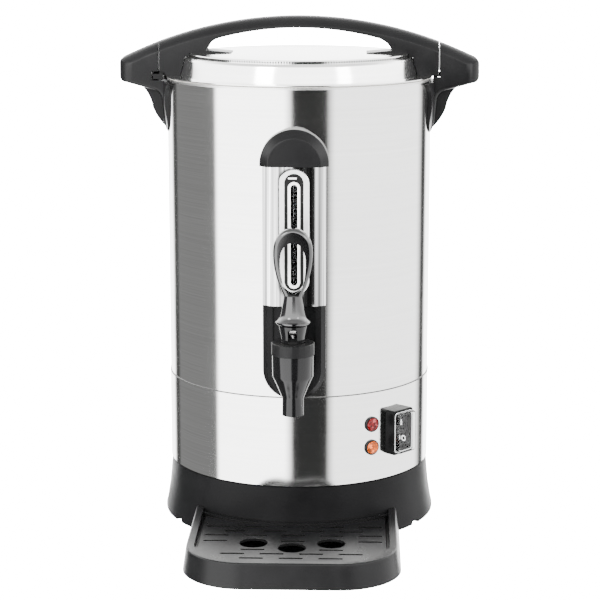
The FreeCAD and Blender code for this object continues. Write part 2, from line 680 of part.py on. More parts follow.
def crowned_band(start, stop):
    """Part of a ring about the centre of the handles' sweep, with a crowned top."""
    half, drop, crease = s.handle_half_width, s.handle_crown, s.handle_crease
    low, high = s.handle_top - 70, s.handle_top
    crown = (half ** 2 + drop ** 2) / (2 * drop)
    heart = high - crown
    lift = math.sqrt((crown - crease) ** 2 - (half - crease) ** 2)
    reach = crown / (crown - crease)
    bend_y, bend_z = half - crease, heart + lift
    aside = math.atan2(lift, half - crease) / 2
    side = (0, -half, bend_z)
    middle = (0, -bend_y - crease * math.cos(aside), bend_z + crease * math.sin(aside))
    shoulder = (0, -bend_y * reach, heart + lift * reach)
    edges = [line((0, -half, low), side), arc_through(side, middle, shoulder),
             arc_through(shoulder, (0, 0, high), (0, -shoulder[1], shoulder[2])),
             arc_through((0, -shoulder[1], shoulder[2]), (0, -middle[1], middle[2]),
                         (0, half, bend_z)),
             line((0, half, bend_z), (0, half, low)), line((0, half, low), (0, -half, low))]
    centre, axis = FreeCAD.Vector(0, 0, high - s.handle_sweep), FreeCAD.Vector(0, 1, 0)
    section = face(edges)
    section.rotate(centre, axis, start)
    return section.revolve(centre, axis, stop - start)


def side_handle_blank():
    """Grip and leg from the front, with their lower edges rounded."""
    reach, half, inner = s.handle_reach, s.handle_half_width, s.handle_inner_face
    tip, crest = s.handle_fin_tip, 143.0
    start = (inner, 0, handle_line(inner) + 1)
    end = (crest, 0, handle_line(crest))
    under = [arc_through((reach, 0, 371.4), (148.6, 0, 368.2), (145.2, 0, 366.3)),
             line((145.2, 0, 366.3), (121.0, 0, 359.8)),
             arc_through((121.0, 0, 359.8), (116.6, 0, 357.0), (114.5, 0, 352.0)),
             line((114.5, 0, 352.0), (112.8, 0, 334.0)), line((112.8, 0, 334.0), (110.6, 0, tip))]
    rest = [line(start, end), arc_through(end, (147.9, 0, 385.6), (reach, 0, 380.6)),
            line((reach, 0, 380.6), (reach, 0, 371.4)), line((110.6, 0, tip), (104, 0, tip)),
            line((104, 0, tip), (104, 0, s.saddle_top)),
            line((104, 0, s.saddle_top), (inner, 0, s.saddle_top)),
            line((inner, 0, s.saddle_top), start)]
    front_view = face(rest + under)
    front_view.translate(FreeCAD.Vector(0, -half, 0))
    blank = front_view.extrude(FreeCAD.Vector(0, 2 * half, 0))
    middles = [edge.CenterOfMass for edge in under]
    rounded = [edge for edge in blank.Edges if edge.BoundBox.YLength < 0.01 and any(
        abs(edge.CenterOfMass.x - place.x) + abs(edge.CenterOfMass.z - place.z) < 0.01
        for place in middles)]
    return blank.makeFillet(s.handle_under_round, rounded)


def saddle_blank():
    """Shield-shaped saddle that hugs the shell and thins towards its tip."""
    wide, waist, top_z, tip = s.saddle_half_width, s.saddle_waist_half, s.saddle_top, s.handle_fin_tip
    edges = [line((90, -wide, top_z), (90, wide, top_z)),
             arc_through((90, wide, top_z), (90, waist + 4, top_z - 7), (90, waist, top_z - 16)),
             line((90, waist, top_z - 16), (90, waist, tip + 8)),
             arc_through((90, waist, tip + 8), (90, waist - 2.4, tip + 2.4), (90, waist - 8, tip)),
             line((90, waist - 8, tip), (90, 8 - waist, tip)),
             arc_through((90, 8 - waist, tip), (90, 2.4 - waist, tip + 2.4), (90, -waist, tip + 8)),
             line((90, -waist, tip + 8), (90, -waist, top_z - 16)),
             arc_through((90, -waist, top_z - 16), (90, -waist - 4, top_z - 7), (90, -wide, top_z))]
    saddle = face(edges).extrude(FreeCAD.Vector(30, 0, 0))
    taper = 20
    tip_hug = Part.makeCone(s.body_radius + s.saddle_tip_wall, s.body_radius + s.saddle_wall, taper,
                            FreeCAD.Vector(0, 0, tip - 0.01))
    hug = Part.makeCylinder(s.body_radius + s.saddle_wall, 60, FreeCAD.Vector(0, 0, tip + taper - 0.01))
    return saddle.common(tip_hug.fuse(hug))


def side_handle(side):
    name = "side_handle_right" if side > 0 else "side_handle_left"
    reach, half, inner = s.handle_reach, s.handle_half_width, s.handle_inner_face
    plan_blank = Part.makeBox(reach - 100, 2 * half, 80, FreeCAD.Vector(100, -half, 325))
    plan_corners = [edge for edge in plan_blank.Edges if edge.BoundBox.ZLength > 70
                    and edge.BoundBox.XMin > reach - 1]
    plan_blank = plan_blank.makeFillet(s.handle_plan_round, plan_corners)
    shape = crowned_band(15, 32).common(side_handle_blank()).common(plan_blank)

    tip = s.handle_fin_tip
    fin = face([arc_through((131.4, 0, 362.6), (124.6, 0, 352.2), (122.6, 0, 344.8)),
                arc_through((122.6, 0, 344.8), (118.4, 0, 336.6), (110.4, 0, tip + 0.8)),
                line((110.4, 0, tip + 0.8), (106, 0, tip + 0.8)),
                line((106, 0, tip + 0.8), (106, 0, 362.6)), line((106, 0, 362.6), (131.4, 0, 362.6))])
    fin.translate(FreeCAD.Vector(0, -s.handle_fin_half, 0))
    fin = fin.extrude(FreeCAD.Vector(0, 2 * s.handle_fin_half, 0))

    shape = shape.fuse([fin, saddle_blank()])
    shell = Part.makeCylinder(s.body_radius + 0.1, 80, FreeCAD.Vector(0, 0, 310))
    slot_back = s.lock_slot_stop
    slot = Part.makeBox(s.lock_slot_depth + 4, half + slot_back + 2,
                        s.lock_slot_top - s.lock_slot_bottom,
                        FreeCAD.Vector(inner - 4, -slot_back, s.lock_slot_bottom))
    light_stop = Part.makeBox(inner - 109, half - slot_back, s.light_stop_top - s.saddle_top + 1,
                              FreeCAD.Vector(110, -half, s.saddle_top - 1))
    flange_room = Part.makeCylinder(s.lid_flange_radius + 0.35, 80, FreeCAD.Vector(0, 0, s.saddle_top))
    shape = shape.cut(shell).cut(slot).fuse(light_stop.cut(flange_room).cut(shell))
    pilots = [(0, s.handle_screw_low, 0.5), (s.handle_screw_side, s.handle_screw_high, 0.9),
              (-s.handle_screw_side, s.handle_screw_high, 0.9)]
    for y, z, short in pilots:
        drill = Part.makeCylinder(1.7, 3.0 if y else 8.0, FreeCAD.Vector(100, y, z),
                                  FreeCAD.Vector(1, 0, 0))
        start_x = math.sqrt(s.body_radius ** 2 - y ** 2)
        drill.translate(FreeCAD.Vector(start_x - 100 - short, 0, 0))
        shape = shape.cut(drill)
    shape = shape.removeSplitter()
    if side < 0:
        shape = shape.copy()
        shape.rotate(FreeCAD.Vector(), FreeCAD.Vector(0, 0, 1), 180)
    return solid(name, shape)


def handle_backings():
    """Steel strips behind the upper shell that spread the handle screws' pull."""
    made = []
    for side in (-1, 1):
        sleeve = turned(f"backing_sleeve_{side}", [
            ("body_radius - sheet_wall - 1.6", "330"), ("body_radius - sheet_wall - 0.1", "330"),
            ("body_radius - sheet_wall - 0.1", "366"), ("body_radius - sheet_wall - 1.6", "366")])
        window = block(f"backing_window_{side}", ("40", "56", "40"),
                       ("90" if side > 0 else "-130", "-28", "328"))
        plate = common(f"backing_plate_{side}", sleeve, window)
        drills = handle_drills(f"backing_drill_{side}", side, "2.1", "90", "125")
        made.append(cut(f"backing_{side}", plate, *drills))
    return group("handle_backing_plates", *made)


def handle_screws():
    made = []
    for side in (-1, 1):
        rotation = FreeCAD.Rotation(FreeCAD.Vector(0, 1, 0), 90 * side)
        for index, (y, z, length) in enumerate((
                (0, s.handle_screw_low, "8.6"), (s.handle_screw_side, s.handle_screw_high, "4.6"),
                (-s.handle_screw_side, s.handle_screw_high, "4.6"))):
            item = screw(f"handle_screw_{side}_{index}", "3.4", "1.6", length, "1.8")
            seat = math.sqrt((s.body_radius - s.sheet_wall - 1.6) ** 2 - (abs(y) + 3.4) ** 2)
            made.append(aim(item, FreeCAD.Vector(side * (seat - 0.1), y, z), rotation))
    return group("handle_screws", *made)


def lid_handle():
    end, half = s.arch_end + 1, s.handle_half_width
    above = s.handle_top + 2
    sweep = s.arch_under_sweep
    shoulder = s.arch_leg_shoulder

    def underside(x):
        return s.arch_underside - sweep + math.sqrt(sweep ** 2 - x ** 2)

    flange, tier = s.lid_flange_top, s.tier_top
    foot_top = tier + s.arch_foot_height
    edges = [line((-end, 0, above), (end, 0, above)),
             arc_through((-shoulder, 0, underside(shoulder)), (0, 0, s.arch_underside),
                         (shoulder, 0, underside(shoulder)))]
    for side in (-1, 1):
        knee = (side * (s.arch_leg_inner - 2.5), 0, 397.0)
        toe = (side * s.arch_leg_inner, 0, foot_top)
        corner = [(side * s.arch_foot_tip, 0, tier + 0.6), (side * s.arch_foot_tip, 0, tier),
                  (side * (s.tier_radius - 4), 0, tier), (side * (s.tier_radius - 4), 0, flange),
                  (side * end, 0, flange), (side * end, 0, above)]
        start = (side * shoulder, 0, underside(shoulder))
        bend = (side * (shoulder + 5.6), 0, underside(shoulder) - 2.9)
        edges += [arc_through(start, bend, knee), line(knee, toe), line(toe, corner[0])]
        edges += [line(corner[index], corner[index + 1]) for index in range(len(corner) - 1)]
    front_view = face(edges)
    front_view.translate(FreeCAD.Vector(0, -half, 0))
    arch = front_view.extrude(FreeCAD.Vector(0, 2 * half, 0))
    arch = arch.common(crowned_band(-24, 24))
    arch = arch.common(Part.makeCylinder(s.arch_end, 80, FreeCAD.Vector(0, 0, flange - 1)))
    riser = Part.makeCone(s.riser_foot_radius + 0.3, s.riser_head_radius + 0.3,
                          s.riser_head + 0.3 - flange, FreeCAD.Vector(0, 0, flange))
    disc = Part.makeCylinder(s.tier_radius + 0.3, tier - s.riser_head - 0.3,
                             FreeCAD.Vector(0, 0, s.riser_head + 0.3))
    arch = arch.cut(riser.fuse(disc))
    for side in (-1, 1):
        hook = Part.makeBox(s.arch_end - 0.8 - s.lug_inner, s.lug_front - 9,
                            s.lug_top - s.lug_bottom + 0.8,
                            FreeCAD.Vector(s.lug_inner, 9, s.lug_bottom))
        lug = Part.makeBox(s.lug_reach - s.lug_inner, s.lug_thickness,
                           s.lug_top - s.lug_bottom,
                           FreeCAD.Vector(s.lug_inner, s.lug_front - s.lug_thickness, s.lug_bottom))
        catch = hook.fuse(lug)
        if side < 0:
            catch.rotate(FreeCAD.Vector(), FreeCAD.Vector(0, 0, 1), 180)
        arch = arch.fuse(catch)
        for y in (-s.lid_screw_side, s.lid_screw_side):
            pilot = Part.makeCylinder(1.5, 9, FreeCAD.Vector(side * s.lid_screw_across, y, tier - 1))
            arch = arch.cut(pilot)
    return solid("lid_handle", arch.removeSplitter())


# Lid

def lid_cover():
    wall = "sheet_wall"
    shell = turned("lid_cover_shell", [
        ("riser_foot_radius - 1.4", f"lid_flange_top - {wall}"),
        ("lid_flange_radius", f"lid_flange_top - {wall}"), ("lid_flange_radius", "lid_flange_top"),
        ("riser_foot_radius", "lid_flange_top"), ("riser_head_radius", "riser_head", "riser_round"),
        ("tier_radius", "riser_head"), ("tier_radius", "tier_top", "0.8"), ("0", "tier_top"),
        ("0", f"tier_top - {wall}"), (f"tier_radius - {wall}", f"tier_top - {wall}"),
        (f"tier_radius - {wall}", f"riser_head - {wall}"),
        (f"riser_head_radius - {wall}", f"riser_head - {wall}", f"riser_round - {wall}")])
    holes = []
    for across in (-1, 1):
        for side in (-1, 1):
            place = (f"{across} * lid_screw_across", f"{side} * lid_screw_side", "tier_top - 5")
            holes.append(rod(f"lid_hole_{across}_{side}", "1.7", "10", place))
    return cut("lid_cover", shell, *holes)


def lid_gasket():
    return turned("lid_gasket", [
        ("gasket_inner", "rim_height + 0.05"), ("gasket_outer", "rim_height + 0.05"),
        ("gasket_outer", "rim_height + gasket_height + 0.05"),
        ("gasket_inner", "rim_height + gasket_height + 0.05")])


def lid_screws():
    made = []
    for across in (-1, 1):
        for side in (-1, 1):
            item = screw(f"lid_screw_{across}_{side}", "2.8", "1.45", "7.5", "1.6")
            place = FreeCAD.Vector(across * s.lid_screw_across, side * s.lid_screw_side,
                                   s.tier_top - s.sheet_wall)
            made.append(aim(item, place, FreeCAD.Rotation()))
    return group("lid_handle_screws", *made)


# Level gauge

def stadium(half_width, low, high, back, front):
    """Upright slot shape with round ends, from one depth to another."""
    radius = half_width
    edges = [line((-radius, 0, low + radius), (-radius, 0, high - radius)),
             arc_through((-radius, 0, high - radius), (0, 0, high), (radius, 0, high - radius)),
             line((radius, 0, high - radius), (radius, 0, low + radius)),
             arc_through((radius, 0, low + radius), (0, 0, low), (-radius, 0, low + radius))]
    shape = face(edges)
    shape.translate(FreeCAD.Vector(0, -front, 0))
    return shape.extrude(FreeCAD.Vector(0, front - back, 0))


def body_cylinder(gap):
    return Part.makeCylinder(s.body_radius + gap, 420)


def gauge_cap():
    radius, low, front = s.cap_radius, s.cap_bottom, s.cap_front
    drum = Part.makeCylinder(radius, front - 100, FreeCAD.Vector(0, -100, s.cap_centre),
                             FreeCAD.Vector(0, -1, 0))
    rim = [edge for edge in drum.Edges if edge.BoundBox.YLength < 0.01
           and edge.BoundBox.YMin < -front + 0.1 and edge.Length > 10]
    drum = drum.makeChamfer(s.cap_bevel, rim)
    rims = [edge for edge in drum.Edges if edge.BoundBox.YLength < 0.01
            and edge.BoundBox.YMin < -front + 8 and edge.Length > 10]
    drum = drum.makeFillet(1.4, rims)
    keep = Part.makeBox(80, 60, 60, FreeCAD.Vector(-40, -140, low))
    shape = drum.common(keep).cut(body_cylinder(0.1))
    line_y = -s.tube_line
    socket = Part.makeCylinder(s.tube_radius + 0.1, s.tube_high - low + 0.5,
                               FreeCAD.Vector(0, line_y, low))
    seat = Part.makeCylinder(s.seal_radius, s.seal_height, FreeCAD.Vector(0, line_y, low))
    pilot = Part.makeCylinder(1.7, 13, FreeCAD.Vector(0, -105, s.cap_screw_height),
                              FreeCAD.Vector(0, -1, 0))
    return solid("gauge_cap", shape.cut(socket.fuse(seat)).cut(pilot))


def gauge_cover():
    wall = s.sheet_wall
    low, high = s.cover_bottom, s.cap_bottom

    def channel(inset):
        flat, half = s.cover_flat_half - inset * 0.4, s.cover_half_width - inset
        front, corner = s.cover_front - inset, s.cover_corner - inset * 0.4
        return Part.makePolygon([FreeCAD.Vector(x, -y, low) for x, y in (
            (-half, 100), (-half, corner), (-flat, front), (flat, front), (half, corner),
            (half, 100), (-half, 100))])

    outer = Part.Face(channel(0)).extrude(FreeCAD.Vector(0, 0, high - low))
    inner = Part.Face(channel(wall)).extrude(FreeCAD.Vector(0, 0, high - low))
    shape = outer.cut(inner).cut(body_cylinder(0.1))
    rim = stadium(s.embossed_half, s.slot_low - 3.6, s.slot_high + 3.6, s.cover_front - wall,
                  s.cover_front + s.embossed_height)
    edges = [edge for edge in rim.Edges if edge.BoundBox.YMax < -s.cover_front - 0.5]
    rim = rim.makeChamfer(0.7, edges)
    slot = stadium(s.slot_half_width, s.slot_low, s.slot_high, 118, 130)
    return solid("gauge_cover", shape.fuse(rim).cut(slot).removeSplitter())


def gauge_panel():
    outer = stadium(s.slot_half_width - 0.1, s.slot_low + 0.1, s.slot_high - 0.1, 121.0,
                    s.cover_front + 0.5)
    flange = stadium(s.slot_half_width + 1.6, s.slot_low - 1.6, s.slot_high + 1.6, 121.0,
                     s.cover_front - s.sheet_wall - 0.1)
    low, high, half = s.slot_low - 1.6, s.slot_high + 1.6, s.channel_half
    channel = Part.makeBox(2 * half, 121.5 - 110.3, high - low, FreeCAD.Vector(-half, -121.5, low))
    hollow = Part.makeBox(2 * (half - s.channel_wall), 130 - 112.1, high - low,
                          FreeCAD.Vector(s.channel_wall - half, -130, low))
    window = stadium(s.window_half, s.window_low, s.window_high, 118, 130)
    shape = outer.fuse([flange, channel.cut(hollow)]).cut(window)
    return solid("gauge_panel", shape.removeSplitter())


def gauge_frame():
    outer = stadium(s.window_half - 0.05, s.window_low + 0.1, s.window_high - 0.1, 121.2,
                    s.cover_front + 0.2)
    inner = stadium(s.frame_half, s.window_low + 2.2, s.window_high - 2.2, 118, 130)
    return solid("gauge_frame", outer.cut(inner))


def gauge_tube():
    place = ("0", "-tube_line", "tube_low")
    outer = rod("gauge_tube_outside", "tube_radius", "tube_high - tube_low", place)
    bore = rod("gauge_tube_bore", "tube_radius - tube_wall", "tube_high - tube_low", place)
    return cut("gauge_tube", outer, bore)


def gauge_seals():
    made = []
    for name, low in (("low", "cover_bottom - seal_height"), ("high", "cap_bottom")):
        place = ("0", "-tube_line", low)
        outer = rod(f"seal_outside_{name}", "seal_radius - 0.05", "seal_height", place)
        bore = rod(f"seal_bore_{name}", "tube_radius + 0.02", "seal_height", place)
        made.append(cut(f"seal_{name}", outer, bore))
    return group("gauge_seals", *made)


def tap_housing():
    half, front, top = s.cover_half_width, s.housing_front, s.cover_bottom
    centre = s.housing_centre
    edges = [line((-half, 0, centre), (-half, 0, top)), line((-half, 0, top), (half, 0, top)),
             line((half, 0, top), (half, 0, centre)),
             arc_through((half, 0, centre), (0, 0, centre - half), (-half, 0, centre))]
    shape = face(edges)
    shape.translate(FreeCAD.Vector(0, -front, 0))
    shape = shape.extrude(FreeCAD.Vector(0, front - 100, 0))
    rim = [edge for edge in shape.Edges if edge.BoundBox.YMax < -front + 0.01
           and edge.BoundBox.ZMin < top - 1]
    shape = shape.makeChamfer(3.6, rim)
    recess_half = s.housing_recess_half
    low = centre + 6
    recess = stadium(recess_half, low - recess_half, top + recess_half + 6,
                     front - s.housing_recess, front + 5)
    shape = shape.cut(body_cylinder(0.1)).cut(recess)
    line_y = -s.tube_line
    channel = Part.makeCylinder(s.tube_radius + 0.1, top - s.shank_height,
                                FreeCAD.Vector(0, line_y, s.shank_height))
    seat = Part.makeCylinder(s.seal_radius, s.seal_height,
                             FreeCAD.Vector(0, line_y, top - s.seal_height))
    bore = Part.makeCylinder(s.shank_radius + 0.1, 50, FreeCAD.Vector(0, -90, s.shank_height),
                             FreeCAD.Vector(0, -1, 0))
    shape = shape.cut(channel.fuse([seat, bore]))
    for side in (-1, 1):
        pilot = Part.makeCylinder(1.7, 11, FreeCAD.Vector(
            side * s.housing_screw_side, -105, s.housing_screw_height), FreeCAD.Vector(0, -1, 0))
        shape = shape.cut(pilot)
    return solid("tap_housing", shape)


def gauge_screws():
    rotation = FreeCAD.Rotation(FreeCAD.Vector(1, 0, 0), 90)
    inner = s.body_radius - s.sheet_wall
    made = []
    for name, x, z, length in (("cap", 0, s.cap_screw_height, "8"),
                               ("left", -s.housing_screw_side, s.housing_screw_height, "8"),
                               ("right", s.housing_screw_side, s.housing_screw_height, "8")):
        item = screw(f"gauge_screw_{name}", "3.2", "1.6", length, "1.8")
        seat = math.sqrt(inner ** 2 - (abs(x) + 3.2) ** 2)
        made.append(aim(item, FreeCAD.Vector(x, -seat + 0.1, z), rotation))
    return group("gauge_screws", *made)


# Tap

TAP_AXIS = ("0", "-tap_line", "0")


def tap_body():
    seat_top = "collar_top - 4.4"
    barrel = turned("tap_barrel", [
        ("spout_bore", "spout_bottom"), ("spout_radius", "spout_bottom"),
        ("spout_radius", "spout_top"), ("tap_knee_radius", "tap_knee"),
        ("tap_radius", "tap_taper"), ("tap_radius", "tap_shoulder"),
        ("collar_thread - 0.1", "tap_shoulder"), ("collar_thread - 0.1", seat_top),
        ("chamber_radius", seat_top), ("chamber_radius", "valve_seat"),
        ("spout_bore", "valve_seat")], TAP_AXIS)
    arm_end = "housing_front - housing_recess + 1.6"
    arm = rod("tap_arm", "arm_radius", f"tap_line - 11 - ({arm_end})",
              ("0", "-tap_line + 11", "shank_height"), "y")
    shank = rod("tap_shank", "shank_radius", f"{arm_end} + 1 - shank_end",
                ("0", f"-({arm_end}) - 1", "shank_height"), "y")
    bore = rod("tap_bore", "shank_bore", "tap_line - shank_end + 2",
               ("0", "-tap_line", "shank_height"), "y")
    feed = rod("tap_gauge_feed", "1.8", "shank_radius + 1", ("0", "-tube_line", "shank_height"))
    return cut("tap_body", join("tap_blank", barrel, arm, shank), bore, feed)


def tap_collar():
    low = "tap_shoulder + 0.1"
    ring = turned("tap_collar_ring", [
        ("collar_thread", low), ("collar_radius + 0.5", low),
        ("collar_radius + 0.5", "collar_top", "1.7"),
        ("collar_lip", "collar_top"), ("collar_lip", "collar_top - 1.9"),
        ("collar_thread", "collar_top - 1.9")], TAP_AXIS)
    facets = doc.addObject("Part::Prism", "tap_collar_facets")
    facets.Polygon = 20
    bind(facets, Circumradius="collar_radius", Height="20")
    move(facets, ("0", "-tap_line", "tap_shoulder - 5"))
    return common("tap_collar", ring, facets)


def tap_bonnet():
    body = turned("tap_bonnet_body", [
        ("stem_radius + 0.2", "collar_top - 4.4"), ("collar_thread - 0.3", "collar_top - 4.4"),
        ("collar_thread - 0.3", "collar_top - 2"), ("bonnet_foot", "collar_top - 2"),
        ("bonnet_foot", "collar_top"), ("bonnet_neck", "bonnet_neck_height"),
        ("bonnet_head", "bonnet_top"), ("bonnet_cavity", "bonnet_top"),
        ("bonnet_cavity", "bonnet_neck_height - 0.6"),
        ("stem_radius + 0.2", "bonnet_neck_height - 0.6")], TAP_AXIS)
    slot = block("bonnet_slot", ("2 * bonnet_slot_half", "12", "bonnet_slot_high - bonnet_slot_low"),
                 ("-bonnet_slot_half", "-tap_line - 17", "bonnet_slot_low"))
    return cut("tap_bonnet", body, slot)


def tap_stem():
    place = ("0", "-tap_line", "valve_seat + 2")
    stem = rod("stem_rod", "stem_radius", "pin_height - valve_seat - 2", place)
    foot = rod("stem_foot", "4.2", "3.6", place)
    collar = rod("stem_collar", "6.2", "1.2", ("0", "-tap_line", "spring_low - 1.8"))
    eye = rod("stem_eye", "eye_radius", "2 * eye_half",
              ("-eye_half", "-tap_line", "pin_height"), "x")
    hole = rod("stem_eye_hole", "pin_radius", "2 * eye_half + 2",
               ("-eye_half - 1", "-tap_line", "pin_height"), "x")
    return cut("tap_stem", join("stem_blank", stem, foot, collar, eye), hole)


def seat_cup():
    top = "valve_seat + 9"
    return turned("seat_cup", [
        ("0", "valve_seat + 0.1"), ("7.6", "valve_seat + 0.1"), ("7.6", "valve_seat + 2"),
        ("6.4", top), ("2.5", top), ("2.5", "valve_seat + 5.7"), ("4.3", "valve_seat + 5.7"),
        ("4.3", "valve_seat + 2"), ("0", "valve_seat + 2")], TAP_AXIS)


def tap_spring():
    height = s.spring_high - s.spring_low
    path = Part.makeHelix(height / s.spring_turns, height, s.spring_radius)
    start = FreeCAD.Vector(s.spring_radius, 0, 0)
    section = Part.Wire(Part.makeCircle(s.spring_wire, start, path.Edges[0].tangentAt(0)))
    coil = Part.Wire(path.Edges).makePipeShell([section], True, True)
    coil.translate(FreeCAD.Vector(0, -s.tap_line, s.spring_low))
    return solid("tap_spring", coil)


def lever_pin():
    return rod("lever_pin", "pin_radius - 0.005", "2 * fork_half + 1",
               ("-fork_half - 0.5", "-tap_line", "pin_height"), "x")


def smooth_outline(half_points, closed):
    """Smooth curve through upright points and their mirror images, on the plane y = 0."""
    right = [FreeCAD.Vector(x, 0, z) for x, z in half_points]
    left = [FreeCAD.Vector(-x, 0, z) for x, z in half_points if x > 0]
    curve = Part.BSplineCurve()
    curve.interpolate(list(reversed(left)) + right if not closed else right + left[::-1],
                      PeriodicFlag=closed)
    return curve.toShape()


# Half outlines of the finger ring and its hole: across, and height
RING_HALF = ((0, 266.3), (8.4, 263.4), (13.7, 256.6), (15.3, 247.0), (14.6, 237.0), (12.4, 227.0),
             (9.6, 219.4), (7.1, 213.8), (6.2, 208.0))
HOLE_HALF = ((0, 255.2), (6.2, 252.6), (9.4, 246.0), (10.1, 238.0), (9.2, 226.8), (5.8, 218.0),
             (0, 215.0))


def tap_lever():
    half = s.lever_ring_thick / 2
    rim = smooth_outline(RING_HALF, False)
    foot = RING_HALF[-1]
    ring = face([rim, line((-foot[0], 0, foot[1]), (foot[0], 0, foot[1]))])
    ring.translate(FreeCAD.Vector(0, -half, 0))
    ring = ring.extrude(FreeCAD.Vector(0, 2 * half, 0))
    outer = [edge for edge in ring.Edges if edge.BoundBox.YLength < 0.01 and edge.BoundBox.ZLength > 20]
    ring = ring.makeFillet(s.lever_ring_round, outer)
    hole = Part.Face(Part.Wire([smooth_outline(HOLE_HALF, True)]))
    hole.translate(FreeCAD.Vector(0, -half - 1, 0))
    ring = ring.cut(hole.extrude(FreeCAD.Vector(0, 2 * half + 2, 0)))
    skirt_low, skirt = s.lever_skirt_bottom, s.lever_skirt_radius
    bell = [line((0, 0, skirt_low), (skirt - 2.2, 0, skirt_low)),
            arc_through((skirt - 2.2, 0, skirt_low), (skirt - 0.6, 0, skirt_low + 1.1),
                        (skirt, 0, skirt_low + 2.7)),
            arc_through((skirt, 0, skirt_low + 2.7), (11.0, 0, 195.5), (9.6, 0, 198.5)),
            arc_through((9.6, 0, 198.5), (8.35, 0, 204.8), (6.9, 0, 213.4)),
            line((6.9, 0, 213.4), (0, 0, 213.4)), line((0, 0, 213.4), (0, 0, skirt_low))]
    skirt_shape = face(bell).revolve(FreeCAD.Vector(), FreeCAD.Vector(0, 0, 1), 360)
    across = FreeCAD.Vector(1, 0, 0)
    start = FreeCAD.Vector(-s.fork_half, 0, s.pin_height)
    hub = Part.makeCylinder(s.fork_hub, 2 * s.fork_half, start, across)
    cheeks = Part.makeBox(2 * s.fork_half, 2 * s.fork_hub, skirt_low - s.pin_height + 1,
                          FreeCAD.Vector(-s.fork_half, -s.fork_hub, s.pin_height))
    slot_half = s.eye_half + 0.3
    slot = Part.makeBox(2 * slot_half, 20, 11.4, FreeCAD.Vector(-slot_half, -10, s.pin_height - 6))
    pin_hole = Part.makeCylinder(s.pin_radius - 0.005 + s.pin_clearance, 40,
                                 start - across * 10, across)
    shape = skirt_shape.fuse([ring, hub, cheeks]).cut(slot.fuse(pin_hole)).removeSplitter()
    item = solid("tap_lever", shape)
    item.Placement.Base = FreeCAD.Vector(0, -s.tap_line, 0)
    return item


def tap_washers():
    outer_face = "housing_front - housing_recess"
    made = []
    ring = rod("washer_outer_disc", "13.6", "1.6", ("0", f"-({outer_face}) - 1.6", "shank_height"), "y")
    hole = rod("washer_outer_hole", "shank_radius + 0.05", "6",
               ("0", f"-({outer_face}) - 3", "shank_height"), "y")
    made.append(cut("washer_outer", ring, hole))
    inner_disc = rod("washer_inner_disc", "14", "4", ("0", "-tank_radius", "shank_height"), "y")
    inner_hole = rod("washer_inner_hole", "shank_radius + 0.05", "12",
                     ("0", "-tank_radius - 4", "shank_height"), "y")
    vessel = rod("washer_inner_limit", "tank_radius - sheet_wall - 0.05", "60", ("0", "0", "120"))
    made.append(cut("washer_inner", common("washer_inner_blank", inner_disc, vessel), inner_hole))
    return group("tap_washers", *made)


def tap_spacer():
    tube = rod("spacer_tube", "14", "16", ("0", "-body_radius - 2", "shank_height"), "y")
    bore = rod("spacer_bore", "shank_radius + 0.3", "20", ("0", "-body_radius - 4", "shank_height"), "y")
    shell = rod("spacer_limit_out", "body_radius - sheet_wall - 0.1", "60", ("0", "0", "120"))
    vessel = rod("spacer_limit_in", "tank_radius + 0.1", "60", ("0", "0", "120"))
    return cut("tap_spacer", common("spacer_blank", tube, shell), bore, vessel)


def tap_nut():
    nut = hexagon("tap_nut_blank", "15.6", "6", ("0", "-tank_radius + 4", "shank_height"), "y")
    bore = rod("tap_nut_bore", "shank_radius + 0.03", "10",
               ("0", "-tank_radius + 2", "shank_height"), "y")
    return cut("tap_nut", nut, bore)


# Lamps, switch and power inlet

def lamp_place(height):
    angle = s.lamp_azimuth
    rotation = FreeCAD.Rotation(angle, 0, 0).multiply(FreeCAD.Rotation(FreeCAD.Vector(1, 0, 0), 90))
    return pole(angle, s.skirt_radius + 0.05, height), rotation


def lamp_lens(name, height):
    body = turned(name, [("0", "0.4"), ("lamp_lens_radius", "0.4"),
                         ("lamp_lens_radius", "lamp_lens_height", "1.7"), ("0", "lamp_lens_height")])
    return aim(body, *lamp_place(number(height)))


def lamp_holders():
    made = []
    for name, height in (("high", s.lamp_high), ("low", s.lamp_low)):
        body = turned(f"lamp_holder_{name}", [
            ("0", "-lamp_barrel_length"), ("lamp_barrel", "-lamp_barrel_length"),
            ("lamp_barrel", "0"), ("lamp_radius", "0"), ("lamp_radius", "1.6", "0.5"),
            ("lamp_lens_radius + 0.05", "1.6"), ("lamp_lens_radius + 0.05", "0.4"), ("0", "0.4")])
        made.append(aim(body, *lamp_place(height)))
    return group("lamp_holders", *made)


def lamp_nuts():
    made = []
    for name, height in (("high", s.lamp_high), ("low", s.lamp_low)):
        body = turned(f"lamp_nut_{name}", [("lamp_barrel + 0.03", "-3.4"), ("7.4", "-3.4"),
                                           ("7.4", "-1.4"), ("lamp_barrel + 0.03", "-1.4")])
        made.append(aim(body, *lamp_place(height)))
    return group("lamp_nuts", *made)


def upright_box(half_width, half_height, back, front, height, edge_round=0.0):
    """Box on the front of the urn, between two distances from the centre line."""
    shape = Part.makeBox(2 * half_width, front - back, 2 * half_height,
                         FreeCAD.Vector(-half_width, -front, height - half_height))
    if edge_round:
        edges = [edge for edge in shape.Edges if edge.BoundBox.YLength > front - back - 0.01]
        shape = shape.makeFillet(edge_round, edges)
    return shape


ROCKER_PIVOT = s.skirt_radius + 3.1


